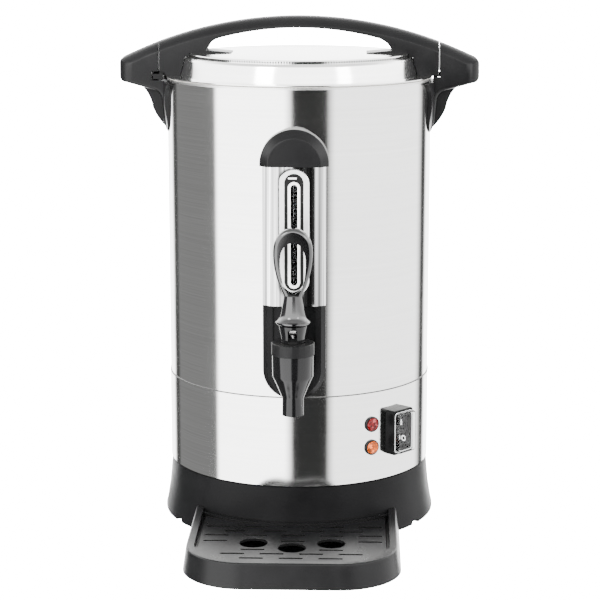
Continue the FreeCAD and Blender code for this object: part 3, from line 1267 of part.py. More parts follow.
def switch_surround():
    height, skin = s.switch_height, s.skirt_radius
    front = skin + s.switch_stand
    shape = upright_box(s.switch_half_width, s.switch_half_height, skin - 4, front, height, 2.2)
    shape = shape.cut(Part.makeCylinder(skin + 0.1, 200))
    rim = [edge for edge in shape.Edges if edge.BoundBox.YMax < -front + 0.01]
    shape = shape.makeFillet(1.0, rim)
    shape = shape.fuse(upright_box(10, 15.2, 90, skin + 2, height))
    well = upright_box(s.rocker_half_width + 0.35, s.rocker_room, ROCKER_PIVOT - 10.6, 130, height)
    pivot = Part.makeCylinder(1.55, 19.6, FreeCAD.Vector(-9.8, -ROCKER_PIVOT, height),
                              FreeCAD.Vector(1, 0, 0))
    shape = shape.cut(well).cut(pivot)
    for blade in blade_shapes(0.0):
        shape = shape.cut(blade)
    return turn(solid("switch_surround", shape), "switch_azimuth")


def blade_shapes(extra):
    return [Part.makeBox(5.0, 16, 0.9, FreeCAD.Vector(x - 2.5, -96, s.switch_height + z - 0.45))
            for x in (-5.2, 5.2) for z in (-8.0, 8.0)]


def switch_terminals():
    return turn(solid("switch_terminals", Part.makeCompound(blade_shapes(0.0))), "switch_azimuth")


def switch_rocker():
    height, half = s.switch_height, s.rocker_half_height
    corners = [(-7, -7), (1.5, -half), (5.0, -half), (3.4, 0), (5.0, half), (1.5, half), (-7, 7)]
    points = [FreeCAD.Vector(-s.rocker_half_width, -out, up) for out, up in corners]
    shape = Part.Face(Part.makePolygon(points + points[:1]))
    shape = shape.extrude(FreeCAD.Vector(2 * s.rocker_half_width, 0, 0))
    pivots = Part.makeCylinder(1.5, 19.0, FreeCAD.Vector(-9.5, 0, 0), FreeCAD.Vector(1, 0, 0))
    shape = shape.fuse(pivots)
    tilt = FreeCAD.Rotation(FreeCAD.Vector(1, 0, 0), -s.rocker_tilt)
    place = FreeCAD.Placement(FreeCAD.Vector(0, -ROCKER_PIVOT, height), tilt)
    shape = shape.transformGeometry(place.toMatrix())
    return turn(solid("switch_rocker", shape), "switch_azimuth")


def switch_cover():
    height, skin = s.switch_height, s.skirt_radius
    back, front = skin + s.switch_stand + 0.05, skin + s.switch_cover_stand
    outer = upright_box(s.switch_half_width - 1.2, s.switch_half_height - 1.6, back, front, height, 3)
    rim = [edge for edge in outer.Edges if edge.BoundBox.YMax < -front + 0.01]
    outer = outer.makeFillet(1.8, rim)
    inner = upright_box(s.switch_half_width - 2.2, s.switch_half_height - 2.6, back - 1,
                        front - 1.0, height, 2)
    return turn(solid("switch_cover", outer.cut(inner)), "switch_azimuth")


def pin_shapes():
    places = ((-7, -2), (7, -2), (0, 3))
    return [Part.makeBox(2, 30, 4, FreeCAD.Vector(x - 1, -108, s.inlet_height + z - 2))
            for x, z in places]


def power_inlet():
    height, skin = s.inlet_height, s.skirt_radius
    flange = upright_box(s.inlet_flange_half, s.inlet_half_height + 2.4, skin - 6,
                         s.inlet_stand, height, 3.5)
    flange = flange.cut(Part.makeCylinder(skin + 0.1, 200))
    body = upright_box(s.inlet_half_width, s.inlet_half_height, 88, s.inlet_stand - 1, height, 1.5)
    socket = upright_box(s.inlet_half_width - 1.5, s.inlet_half_height - 1.6, 95, 130, height, 2)
    shape = flange.fuse(body).cut(socket)
    for side in (-1, 1):
        place = FreeCAD.Vector(side * s.inlet_screw_half, -120, height)
        shape = shape.cut(Part.makeCylinder(1.8, 30, place, FreeCAD.Vector(0, 1, 0)))
    for pin in pin_shapes():
        shape = shape.cut(pin)
    return turn(solid("power_inlet", shape), "180")


def inlet_pins():
    return turn(solid("inlet_pins", Part.makeCompound(pin_shapes())), "180")


def inlet_screws():
    made = []
    for side in (-1, 1):
        item = screw(f"inlet_screw_{side}", "3.2", "1.6", "12", "1.8")
        place = FreeCAD.Vector(side * s.inlet_screw_half, s.inlet_stand, s.inlet_height)
        made.append(aim(item, place, FreeCAD.Rotation(FreeCAD.Vector(1, 0, 0), 90)))
    return group("inlet_screws", *made)


def inlet_nuts():
    made = []
    for side in (-1, 1):
        place = (f"{side} * inlet_screw_half", "skirt_radius - sheet_wall - 5.2", "inlet_height")
        nut = hexagon(f"inlet_nut_blank_{side}", "3.4", "2.4", place, "y")
        bore = rod(f"inlet_nut_bore_{side}", "1.63", "6",
                   (place[0], f"{place[1]} - 1", place[2]), "y")
        made.append(cut(f"inlet_nut_{side}", nut, bore))
    return group("inlet_nuts", *made)


# Heater under the tank

def heater_plate():
    inner, under = "well_radius + sheet_wall + 0.4", "tank_floor - sheet_wall"
    return turned("heater_plate", [
        (inner, f"{under} - heater_plate_wall"),
        ("heater_plate_radius", f"{under} - heater_plate_wall"),
        ("heater_plate_radius", under), (inner, under)])


def element(name, ring_radius, tube, start, drop):
    """Sheathed ring element with two cold ends that turn down."""
    level = f"tank_floor - sheet_wall - heater_plate_wall - {tube} - 0.02"
    ring = doc.addObject("Part::Torus", name + "_ring")
    bind(ring, Radius1=ring_radius, Radius2=tube)
    ring.Angle3 = 330
    height = number(level)
    ring.Placement = FreeCAD.Placement(FreeCAD.Vector(0, 0, height), FreeCAD.Rotation(start, 0, 0))
    ends = []
    for index, angle in enumerate((start, start + 330)):
        leg = doc.addObject("Part::Cylinder", f"{name}_leg_{index}")
        bind(leg, Radius=f"{tube} * 0.7", Height=drop)
        radius = number(ring_radius)
        leg.Placement.Base = FreeCAD.Vector(radius * math.cos(math.radians(angle)),
                                            radius * math.sin(math.radians(angle)),
                                            height - number(drop))
        ends.append(leg)
    return join(name, ring, *ends)


def round_control(name, across, radius, low):
    """Round bimetal control that touches the heater plate's underside, with two blades."""
    top = "tank_floor - sheet_wall - heater_plate_wall"
    can = rod(name + "_can", radius, f"{top} - ({low})", (across, "0", low))
    blades = [block(f"{name}_blade_{side}", ("0.8", "5", "9"),
                    (f"{across} + {side} * 4 - 0.4", "-2.5", f"{low} - 8")) for side in (-1, 1)]
    return join(name, can, *blades)


# Percolator

def perforate(name, base, low, rings):
    """Drill rings of small holes: each ring is (radius, count)."""
    drills = []
    for radius, count in rings:
        for index in range(count):
            drill = doc.addObject("Part::Cylinder", f"{name}_hole_{radius}_{index}")
            bind(drill, Radius="1.3", Height="4")
            drill.Placement.Base = pole(360.0 * index / count, radius, number(low) - 1)
            drills.append(drill)
    return cut(name, base, *drills)


def percolator_stem():
    well, wall = "tank_floor - well_depth", "stem_tube_wall"
    inner = "stem_tube_radius - stem_tube_wall"
    return turned("percolator_stem", [
        (f"bell_radius - {wall}", well), ("bell_radius", well), ("bell_radius", f"{well} + 2"),
        ("stem_tube_radius", f"{well} + bell_height + 2"), ("stem_tube_radius", "basket_low - 2.4"),
        ("9", "basket_low - 2.4"), ("9", "basket_low"), ("stem_tube_radius", "basket_low"),
        ("stem_tube_radius", "stem_tube_top"), (inner, "stem_tube_top"),
        (inner, f"{well} + bell_height + 1.4"), (f"bell_radius - {wall}", f"{well} + 1.6")])


def stem_valve():
    well = "tank_floor - well_depth"
    return turned("stem_valve", [("1.5", well), ("9", well), ("9", f"{well} + 1"),
                                 ("1.5", f"{well} + 1")])


def coffee_basket():
    wall = "sheet_wall"
    blank = turned("coffee_basket_blank", [
        ("5.4", "basket_low"), ("basket_radius", "basket_low"), ("basket_radius", "basket_high"),
        (f"basket_radius - {wall}", "basket_high"), (f"basket_radius - {wall}", f"basket_low + {wall}"),
        (f"5.4 + {wall}", f"basket_low + {wall}"), (f"5.4 + {wall}", "basket_high - 2"),
        ("5.4", "basket_high - 2")])
    return perforate("coffee_basket", blank, "basket_low", ((20, 8), (36, 12), (52, 16)))


def basket_spreader():
    blank = turned("basket_spreader_blank", [
        ("5.4", "basket_high"), ("basket_radius - 0.4", "basket_high"),
        ("basket_radius - 0.4", "basket_high + 4"), ("basket_radius - 1.2", "basket_high + 4"),
        ("basket_radius - 1.2", "basket_high + sheet_wall"), ("5.4", "basket_high + sheet_wall")])
    return perforate("basket_spreader", blank, "basket_high", ((18, 8), (34, 12), (50, 16)))


# Drip tray

# Grille rows: distance from the centre line, and slot places in half pitches
GRILLE_ROWS = ((122.0, (-4, -2, 0, 2, 4)), (133.5, (-3, -1, 1, 3)), (144.0, (-4, -2, 0, 2, 4)),
               (158.0, (-4, 0, 4)), (178.5, (-2, 2)), (188.3, (-3, -1, 1, 3)),
               (198.6, (-2, 0, 2)))


def tray_outline(half, front, corner, height, back=60):
    """Plan of the tray: straight sides and a straight front joined by large round corners."""
    bend = corner * math.sqrt(0.5)
    centre_x, centre_y = half - corner, -(front - corner)
    points = {"left": (-half, centre_y, height), "front_left": (-centre_x, -front, height),
              "front_right": (centre_x, -front, height), "right": (half, centre_y, height)}
    edges = [line((-half, -back, height), points["left"]),
             arc_through(points["left"], (-centre_x - bend, centre_y - bend, height),
                         points["front_left"]),
             line(points["front_left"], points["front_right"]),
             arc_through(points["front_right"], (centre_x + bend, centre_y - bend, height),
                         points["right"]),
             line(points["right"], (half, -back, height)),
             line((half, -back, height), (-half, -back, height))]
    return Part.Wire(Part.__sortEdges__(edges))


def tray_prism(inset, low, high):
    top_half = s.tray_half_width - s.tray_flare - inset
    top_front = s.tray_front - s.tray_flare - inset
    wire = tray_outline(top_half, top_front, s.tray_corner - s.tray_flare - inset, low)
    return Part.Face(wire).extrude(FreeCAD.Vector(0, 0, high - low))


def urn_cylinder(radius):
    return Part.makeCylinder(radius, 60, FreeCAD.Vector(0, 0, -5))


def drip_tray():
    foot = tray_outline(s.tray_half_width, s.tray_front, s.tray_corner, 0)
    flare = s.tray_flare
    head = tray_outline(s.tray_half_width - flare, s.tray_front - flare, s.tray_corner - flare,
                        s.tray_height)
    shape = Part.makeLoft([foot, head], True, True)
    rim = [edge for edge in shape.Edges if edge.BoundBox.ZMin > s.tray_height - 0.01
           and edge.BoundBox.YMin < -61]
    shape = shape.makeFillet(s.tray_edge_round, rim)
    under_grille = s.grille_top - s.grille_wall
    back = s.tray_back_line + s.tray_back_wall
    seat = tray_prism(s.tray_rim, under_grille, 30).cut(urn_cylinder(back))
    basin = tray_prism(s.tray_rim + s.tray_ledge, s.tray_wall, 30)
    basin = basin.cut(urn_cylinder(back + s.tray_ledge))
    gap = s.tray_ear_gap
    profile = [(0, -1), (s.base_foot_radius + gap, -1), (s.base_foot_radius + gap, 2.4),
               (s.base_heel_radius + gap, s.base_heel_height),
               (s.base_waist_radius + gap, s.base_waist_height), (0, s.base_waist_height)]
    points = [FreeCAD.Vector(radius, 0, height) for radius, height in profile]
    around = Part.Face(Part.makePolygon(points + points[:1]))
    around = around.revolve(FreeCAD.Vector(), FreeCAD.Vector(0, 0, 1), 360)
    ear_inner = s.tray_half_width - flare - s.tray_rim
    between = urn_cylinder(s.tray_back_line).common(
        Part.makeBox(2 * ear_inner, 140, 60, FreeCAD.Vector(-ear_inner, -140, -5)))
    wall_step = urn_cylinder(back).common(
        Part.makeBox(2 * ear_inner, 140, 30, FreeCAD.Vector(-ear_inner, -140, s.tray_height - 1.4)))
    shape = shape.cut(seat).cut(basin).cut(around).cut(between).cut(wall_step)
    for side in (-1, 1):
        centre = side * (s.tongue_inner + s.tongue_width / 2)
        tongue = Part.makeBox(s.tongue_width, s.tray_back_line + 1 - s.tongue_end, s.tongue_height,
                              FreeCAD.Vector(centre - s.tongue_width / 2,
                                             -s.tray_back_line - 1, 0.4))
        shape = shape.fuse(tongue)
    return solid("drip_tray", shape.removeSplitter())


def plan_slot(x, y, length, width, low, high):
    """Upright prism of a round-ended slot that runs across the tray."""
    radius, reach = width / 2, (length - width) / 2
    edges = [line((x - reach, y - radius, low), (x + reach, y - radius, low)),
             arc_through((x + reach, y - radius, low), (x + reach + radius, y, low),
                         (x + reach, y + radius, low)),
             line((x + reach, y + radius, low), (x - reach, y + radius, low)),
             arc_through((x - reach, y + radius, low), (x - reach - radius, y, low),
                         (x - reach, y - radius, low))]
    return face(edges).extrude(FreeCAD.Vector(0, 0, high - low))


def drip_grille():
    low, high = s.grille_top - s.grille_wall, s.grille_top
    back = s.tray_back_line + s.tray_back_wall
    shape = tray_prism(s.tray_rim + s.grille_gap, low + 0.02, high)
    shape = shape.cut(urn_cylinder(back + s.grille_gap))
    side = s.tray_half_width - s.tray_flare - s.tray_rim - s.grille_gap - s.grille_side_gap
    straight = s.tray_front - s.tray_corner
    cutters = [Part.makeBox(10, straight - 92, 10, FreeCAD.Vector(x, -straight, low - 3))
               for x in (-side - 10, side)]
    half_pitch = s.grille_pitch / 2
    for distance, places in GRILLE_ROWS:
        for place in places:
            cutters.append(plan_slot(place * half_pitch, -distance, s.grille_slot_length,
                                     s.grille_slot_width, low - 1, high + 1))
    for place, distance in ((-2, s.cup_hole_line), (0, s.cup_hole_front), (2, s.cup_hole_line)):
        cutters.append(Part.makeCylinder(s.cup_hole_radius, 6, FreeCAD.Vector(
            place * half_pitch, -distance, low - 2)))
    return solid("drip_grille", shape.cut(Part.makeCompound(cutters)))


SUBPARTS = [
    upper_shell(), lower_shell(), joint_ring(), tank(),
    base_ring(), base_plate(), base_feet(), base_screws(),
    side_handle(-1), side_handle(1), handle_backings(), handle_screws(),
    lid_cover(), lid_gasket(), lid_handle(), lid_screws(),
    gauge_cap(), gauge_cover(), gauge_panel(), gauge_frame(), gauge_tube(), gauge_seals(),
    tap_housing(), gauge_screws(),
    tap_body(), tap_collar(), tap_bonnet(), tap_stem(), seat_cup(), tap_spring(), lever_pin(),
    tap_lever(), tap_washers(), tap_spacer(), tap_nut(),
    lamp_lens("lamp_lens_red", "lamp_high"), lamp_lens("lamp_lens_amber", "lamp_low"),
    lamp_holders(), lamp_nuts(),
    switch_surround(), switch_terminals(), switch_rocker(), switch_cover(),
    power_inlet(), inlet_pins(), inlet_screws(), inlet_nuts(),
    heater_plate(),
    element("boil_element", "boil_ring_radius", "boil_tube", 105, "20"),
    element("keep_warm_element", "warm_ring_radius", "warm_tube", 285, "20"),
    round_control("thermostat", "thermostat_line", "9", "112"),
    round_control("thermal_cutout", "-thermostat_line", "6", "117"),
    percolator_stem(), stem_valve(), coffee_basket(), basket_spreader(),
    drip_tray(), drip_grille(),
]

doc.recompute()

failed = [item.Label for item in doc.Objects
          if any(word in item.State for word in ("Invalid", "Error"))]
for item in SUBPARTS:
    if item.Shape.isNull() or not item.Shape.isValid() or not item.Shape.Solids:
        failed.append(item.Label)
if failed:
    raise RuntimeError("these objects did not build: " + ", ".join(sorted(set(failed))))

os.makedirs("parts", exist_ok=True)
for item in SUBPARTS:
    item.Shape.exportStep(f"parts/{item.Label}.step")
    box = item.Shape.BoundBox
    print(f"{item.Label}: {len(item.Shape.Solids)} solids, {item.Shape.Volume / 1000:.2f} cm3, "
          f"x {box.XMin:.1f}..{box.XMax:.1f}, y {box.YMin:.1f}..{box.YMax:.1f}, "
          f"z {box.ZMin:.1f}..{box.ZMax:.1f}")
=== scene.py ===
import math

import bmesh
import bpy
from bpy.props import FloatProperty, FloatVectorProperty, PointerProperty
from mathutils import Matrix, Vector


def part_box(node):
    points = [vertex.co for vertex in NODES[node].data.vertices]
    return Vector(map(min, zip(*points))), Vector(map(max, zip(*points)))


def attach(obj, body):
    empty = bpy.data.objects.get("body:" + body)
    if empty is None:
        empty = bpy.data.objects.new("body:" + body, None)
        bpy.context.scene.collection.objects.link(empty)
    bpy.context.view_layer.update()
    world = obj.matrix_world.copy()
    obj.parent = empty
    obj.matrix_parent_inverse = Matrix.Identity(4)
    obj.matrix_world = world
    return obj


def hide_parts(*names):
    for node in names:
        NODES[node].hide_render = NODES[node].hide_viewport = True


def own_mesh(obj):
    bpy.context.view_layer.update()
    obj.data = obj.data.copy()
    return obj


bl_info = {
    "name": "Coffee urn",
    "version": (1, 0, 0),
    "blender": (4, 5, 0),
    "location": "View3D > Sidebar > Urn",
    "description": "Dresses the packed coffee urn with its finishes, small details and a studio",
    "category": "Object",
}

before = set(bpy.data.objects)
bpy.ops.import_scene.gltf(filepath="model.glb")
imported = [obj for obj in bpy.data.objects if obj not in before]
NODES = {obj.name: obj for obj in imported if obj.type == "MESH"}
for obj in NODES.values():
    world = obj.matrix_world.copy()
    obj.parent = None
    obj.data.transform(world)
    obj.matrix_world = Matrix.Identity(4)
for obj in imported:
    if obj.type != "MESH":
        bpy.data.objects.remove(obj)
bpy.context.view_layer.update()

# Places that the new pieces are set out from, in metres and radians
RAISED_DISC_RADIUS = 0.0916
LOWEST_MARK = 0.2220
MARK_PITCH = 0.0069
FULL_MARK = 0.3016
SWITCH_AZIMUTH = math.radians(48.0)
ROCKER_PIVOT_LINE = 0.1135
ROCKER_PIVOT_HEIGHT = 0.0862
ROCKER_TILT = math.radians(10.0)
ROCKER_CREASE_STAND = 0.0034
ROCKER_END_STAND = 0.0050
ROCKER_HALF_HEIGHT = 0.0120
VENT_COUNT = 260
VENT_SIZE = (0.0011, 0.0002, 0.0017)
VENT_DROP = 0.0016
MARK_COUNT = 11
MARK_HALF_HEIGHT = 0.00045
MARK_SWEEP = math.radians(150)
MARK_STEPS = 15
INK_STAND = 0.00003
FULL_MARK_SIZE = (0.0066, 0.0002, 0.0013)
FULL_MARK_OFFSET = -0.0012
ROCKER_MARK_OFFSET = 0.0066
ROCKER_BAR_SIZE = (0.0009, 0.0046, 0.0001)
ROCKER_RING_RADIUS = 0.0024
ROCKER_RING_HOLE = 0.64
ROCKER_PAINT_STAND = 0.00008
COVER_RIM_BLEND = (0.0003, 0.0009)

# Welding and shading of the CAD meshes
WELD_DISTANCE = 0.000002
SHARP_ANGLE = math.radians(32)


# Sizes and colours that a user would change

def colour(name, note, default):
    return FloatVectorProperty(name=name, description=note, subtype="COLOR", size=3, min=0, max=1,
                               default=default)


def length(name, note, default):
    return FloatProperty(name=name, description=note, unit="LENGTH", precision=4, default=default)


class UrnFinishes(bpy.types.PropertyGroup):
    steel: colour("Steel", "Brushed stainless sheet of the body and lid", (0.72, 0.72, 0.71))
    plastic: colour("Plastic", "Black moulded handles, gauge cap and tap", (0.003, 0.003, 0.0032))
    base_plastic: colour("Base plastic", "Black base, tray and grille", (0.004, 0.004, 0.0042))
    red_lens: colour("Red lens", "Upper indicator lamp", (0.11, 0.001, 0.002))
    amber_lens: colour("Amber lens", "Lower indicator lamp", (0.36, 0.060, 0.002))
    silicone: colour("Silicone", "Seals, washers and gasket", (0.72, 0.70, 0.66))


class UrnStage(bpy.types.PropertyGroup):
    camera_distance: length("Camera distance", "Camera to the urn's centre line", 1.59313)
    camera_height: length("Camera height", "Camera above the surface", 0.5056)
    camera_azimuth: FloatProperty(name="Camera azimuth", description="From the front towards +X",
                                  subtype="ANGLE", default=math.radians(1.9))
    camera_pitch: FloatProperty(name="Camera pitch", description="Downward tilt", subtype="ANGLE",
                                default=0.201864)
    camera_yaw: FloatProperty(name="Camera yaw", description="Turn away from the centre line",
                              subtype="ANGLE", default=math.radians(0.0241))
    focal_length: FloatProperty(name="Lens", description="Focal length in millimetres",
                                default=114.047)
    floor_colour: colour("Floor", "Pale floor and backdrop", (0.93, 0.93, 0.93))


# Node helpers

def new_material(name):
    material = bpy.data.materials.new(name)
    material.use_nodes = True
    shader = material.node_tree.nodes["Principled BSDF"]
    return material, shader


def texture(material, kind, scale=(1, 1, 1), offset=(0, 0, 0), **inputs):
    """Texture node on stretched Object coordinates."""
    nodes, links = material.node_tree.nodes, material.node_tree.links
    place = nodes.new("ShaderNodeTexCoord")
    mapping = nodes.new("ShaderNodeMapping")
    mapping.inputs["Scale"].default_value = scale
    mapping.inputs["Location"].default_value = offset
    links.new(place.outputs["Object"], mapping.inputs["Vector"])
    node = nodes.new(kind)
    links.new(mapping.outputs["Vector"], node.inputs["Vector"])
    for key, value in inputs.items():
        node.inputs[key.replace("_", " ")].default_value = value
    return node


def spread(material, source, low, high, start=0.0, stop=1.0):
    """Map a texture's value from a start..stop range to a low..high range."""
    node = material.node_tree.nodes.new("ShaderNodeMapRange")
    node.inputs["From Min"].default_value = start
    node.inputs["From Max"].default_value = stop
    node.inputs["To Min"].default_value = low
    node.inputs["To Max"].default_value = high
    material.node_tree.links.new(source, node.inputs["Value"])
    return node.outputs["Result"]


def ramp(material, source, *stops):
    node = material.node_tree.nodes.new("ShaderNodeValToRGB")
    steps = node.color_ramp.elements
    steps.remove(steps[1])
    steps[0].position = stops[0][0]
    steps[0].color = (*stops[0][1], 1.0)
    for place, tone in stops[1:]:
        steps.new(place).color = (*tone, 1.0)
    material.node_tree.links.new(source, node.inputs["Fac"])
    return node.outputs["Color"]


def bump(material, shader, source, strength, distance):
    node = material.node_tree.nodes.new("ShaderNodeBump")
    node.inputs["Strength"].default_value = strength
    node.inputs["Distance"].default_value = distance
    material.node_tree.links.new(source, node.inputs["Height"])
    material.node_tree.links.new(node.outputs["Normal"], shader.inputs["Normal"])


def shade(tone, factor):
    return tuple(min(1.0, channel * factor) for channel in tone)


# Finishes

def brushed_steel(name, tone, grain=(6, 6, 1700), rough=(0.07, 0.11), depth=0.00002, strength=0.05):
    """Stainless sheet with fine brushing; grain is the stretch of the brush lines along X, Y and Z."""
    material, shader = new_material(name)
    shader.inputs["Metallic"].default_value = 1.0
    lines = texture(material, "ShaderNodeTexNoise", grain, Scale=1.0, Detail=3.0, Roughness=0.6)
    broad = texture(material, "ShaderNodeTexNoise", (9, 9, 14), Scale=1.0, Detail=2.0)
    links = material.node_tree.links
    links.new(ramp(material, lines.outputs["Fac"], (0.35, shade(tone, 0.93)), (0.65, shade(tone, 1.05))),
              shader.inputs["Base Color"])
    links.new(spread(material, broad.outputs["Fac"], *rough, 0.3, 0.7), shader.inputs["Roughness"])
    bump(material, shader, lines.outputs["Fac"], strength, depth)
    return material


def moulded_plastic(name, tone, rough=(0.30, 0.40), grain=2600, depth=0.000012, strength=0.35,
                    shine=0.12, ior=1.5):
    """Moulded plastic with a fine spark-eroded grain and faint cloudiness."""
    material, shader = new_material(name)
    shader.inputs["IOR"].default_value = ior
    shader.inputs["Specular IOR Level"].default_value = shine
    pits = texture(material, "ShaderNodeTexNoise", (1, 1, 1), Scale=grain, Detail=2.0)
    cloud = texture(material, "ShaderNodeTexNoise", (1, 1, 1), Scale=38.0, Detail=3.0)
    links = material.node_tree.links
    links.new(ramp(material, cloud.outputs["Fac"], (0.3, shade(tone, 0.85)), (0.7, shade(tone, 1.25))),
              shader.inputs["Base Color"])
    links.new(spread(material, cloud.outputs["Fac"], *rough, 0.3, 0.7), shader.inputs["Roughness"])
    bump(material, shader, pits.outputs["Fac"], strength, depth)
    return material


def clear_plastic(name, tone, rough, ior):
    """Clear plastic with a faint ripple."""
    material, shader = new_material(name)
    shader.inputs["Base Color"].default_value = (*tone, 1.0)
    shader.inputs["Roughness"].default_value = rough
    shader.inputs["Transmission Weight"].default_value = 1.0
    shader.inputs["IOR"].default_value = ior
    ripple = texture(material, "ShaderNodeTexNoise", (1, 1, 1), Scale=120.0, Detail=2.0)
    bump(material, shader, ripple.outputs["Fac"], 0.05, 0.00005)
    return material


def plain_metal(name, tone, rough=(0.25, 0.4), scale=400.0):
    material, shader = new_material(name)
    shader.inputs["Metallic"].default_value = 1.0
    noise = texture(material, "ShaderNodeTexNoise", (1, 1, 1), Scale=scale, Detail=3.0)
    links = material.node_tree.links
    links.new(ramp(material, noise.outputs["Fac"], (0.3, shade(tone, 0.85)), (0.7, shade(tone, 1.08))),
              shader.inputs["Base Color"])
    links.new(spread(material, noise.outputs["Fac"], *rough, 0.3, 0.7), shader.inputs["Roughness"])
    bump(material, shader, noise.outputs["Fac"], 0.15, 0.00002)
    return material


def painted_reflection_steel(name, tone):
    """Upright-brushed steel with painted reflection: light and dark upright streaks are painted into its
    colour. Its raised rim keeps a plain satin finish.
    """
    material = brushed_steel(name, tone, (900, 900, 4), (0.07, 0.12), strength=0.05)
    shader = material.node_tree.nodes["Principled BSDF"]
    # Painted reflection: broad upright streaks that take the colour from near black up to full tone
    painted_reflection_streaks = texture(material, "ShaderNodeTexNoise", (210, 210, 1.2), (0.011, 0, 0),
                      Scale=1.0, Detail=2.0, Roughness=0.6)
    painted_light_tones = ramp(material, painted_reflection_streaks.outputs[0], (0.36, [part * 0.05 for part in tone]),
                 (0.46, [part * 0.22 for part in tone]), (0.54, [part * 0.45 for part in tone]),
                 (0.62, tone))
    nodes, links = material.node_tree.nodes, material.node_tree.links
    place = nodes.new("ShaderNodeTexCoord")
    split = nodes.new("ShaderNodeSeparateXYZ")
    links.new(place.outputs["Object"], split.inputs["Vector"])
    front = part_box("gauge_cover")[0][1]
    raised = spread(material, split.outputs["Y"], 1.0, 0.0,
                    front + COVER_RIM_BLEND[0], front + COVER_RIM_BLEND[1])
    colour_mix = nodes.new("ShaderNodeMix")
    colour_mix.data_type = "RGBA"
    links.new(raised, colour_mix.inputs["Factor"])
    links.new(painted_light_tones, colour_mix.inputs["A"])
    colour_mix.inputs["B"].default_value = (*tone, 1.0)
    links.new(colour_mix.outputs["Result"], shader.inputs["Base Color"])
    links.new(spread(material, raised, 0.09, 0.45), shader.inputs["Roughness"])
    return material


def lamp_plastic_painted_glints(name, tone):
    """Tinted lens moulded with small bumped facets inside, with painted shade and painted glints: each
    facet's colour runs from dark to bright.
    """
    material, shader = new_material(name)
    facets = texture(material, "ShaderNodeTexVoronoi", (620, 620, 620), Scale=1.0)
    # Painted shade and painted glints: facets darkened to a quarter of the tint or brightened past it
    painted_light_tones = ramp(material, facets.outputs["Color"], (0.15, [part * 0.25 for part in tone]),
                 (0.60, tone), (0.92, [min(1.0, part * 2.2 + 0.05) for part in tone]))
    material.node_tree.links.new(painted_light_tones, shader.inputs["Base Color"])
    shader.inputs["Roughness"].default_value = 0.12
    shader.inputs["Specular IOR Level"].default_value = 0.18
    bump(material, shader, facets.outputs["Distance"], 0.35, 0.00012)
    return material


# Piece helpers

def edge_softener():
    """Node group that welds a CAD node's loose triangles and keeps only its real edges sharp."""
    name = "soft_shading"
    if name in bpy.data.node_groups:
        return bpy.data.node_groups[name]
    tree = bpy.data.node_groups.new(name, "GeometryNodeTree")
    tree.interface.new_socket("Geometry", in_out="INPUT", socket_type="NodeSocketGeometry")
    tree.interface.new_socket("Geometry", in_out="OUTPUT", socket_type="NodeSocketGeometry")
    start = tree.nodes.new("NodeGroupInput")
    stop = tree.nodes.new("NodeGroupOutput")
    weld = tree.nodes.new("GeometryNodeMergeByDistance")
    weld.inputs["Distance"].default_value = WELD_DISTANCE
    angle = tree.nodes.new("GeometryNodeInputMeshEdgeAngle")
    limit = tree.nodes.new("FunctionNodeCompare")
    limit.data_type = "FLOAT"
    limit.operation = "LESS_THAN"
    limit.inputs["B"].default_value = SHARP_ANGLE
    faces = tree.nodes.new("GeometryNodeSetShadeSmooth")
    faces.domain = "FACE"
    edges = tree.nodes.new("GeometryNodeSetShadeSmooth")
    edges.domain = "EDGE"
    tree.links.new(start.outputs[0], weld.inputs["Geometry"])
    tree.links.new(weld.outputs["Geometry"], faces.inputs["Geometry"])
    tree.links.new(faces.outputs["Geometry"], edges.inputs["Geometry"])
    tree.links.new(angle.outputs["Unsigned Angle"], limit.inputs["A"])
    tree.links.new(limit.outputs["Result"], edges.inputs["Shade Smooth"])
    tree.links.new(edges.outputs["Geometry"], stop.inputs[0])
    return tree


def dress(material, *names):
    """Give CAD nodes a finish and smooth shading."""
    for name in names:
        item = NODES[name]
        item.data.materials.clear()
        item.data.materials.append(material)
        modifier = item.modifiers.new("soft_shading", "NODES")
        modifier.node_group = edge_softener()


def finishes():
    return bpy.context.scene.urn_finishes


class URN_OT_steel_body(bpy.types.Operator):
    """Brushed shells, tank and joint ring"""
    bl_idname = "urn.steel_body"
    bl_label = "Steel body"

    def execute(self, context):
        tone = finishes().steel
        dress(brushed_steel("shell_brushed_steel", tone), "upper_shell", "lower_shell")
        dress(brushed_steel("tank_satin_steel", shade(tone, 0.9), rough=(0.22, 0.34)), "tank")
        dress(moulded_plastic("joint_dark_plastic", (0.03, 0.03, 0.03)), "joint_ring")
        return {"FINISHED"}


class URN_OT_base(bpy.types.Operator):
    """Black moulded base with its plate, feet and screws"""
    bl_idname = "urn.base"
    bl_label = "Base"

    def execute(self, context):
        dress(moulded_plastic("base_moulded_plastic", finishes().base_plastic, (0.34, 0.46), shine=0.045),
              "base_ring")
        dress(plain_metal("plate_painted_grey", (0.25, 0.25, 0.26)), "base_plate")
        dress(moulded_plastic("foot_rubber", (0.02, 0.02, 0.02), (0.6, 0.75)), "rubber_feet")
        dress(plain_metal("screw_steel", (0.55, 0.55, 0.55)), "base_screws", "handle_screws",
              "lid_handle_screws", "gauge_screws", "inlet_screws", "inlet_nuts",
              "handle_backing_plates")
        return {"FINISHED"}


class URN_OT_handles(bpy.types.Operator):
    """Side handles and lid handle"""
    bl_idname = "urn.handles"
    bl_label = "Handles"

    def execute(self, context):
        dress(moulded_plastic("handle_satin_plastic", finishes().plastic), "side_handle_left",
              "side_handle_right", "lid_handle")
        return {"FINISHED"}


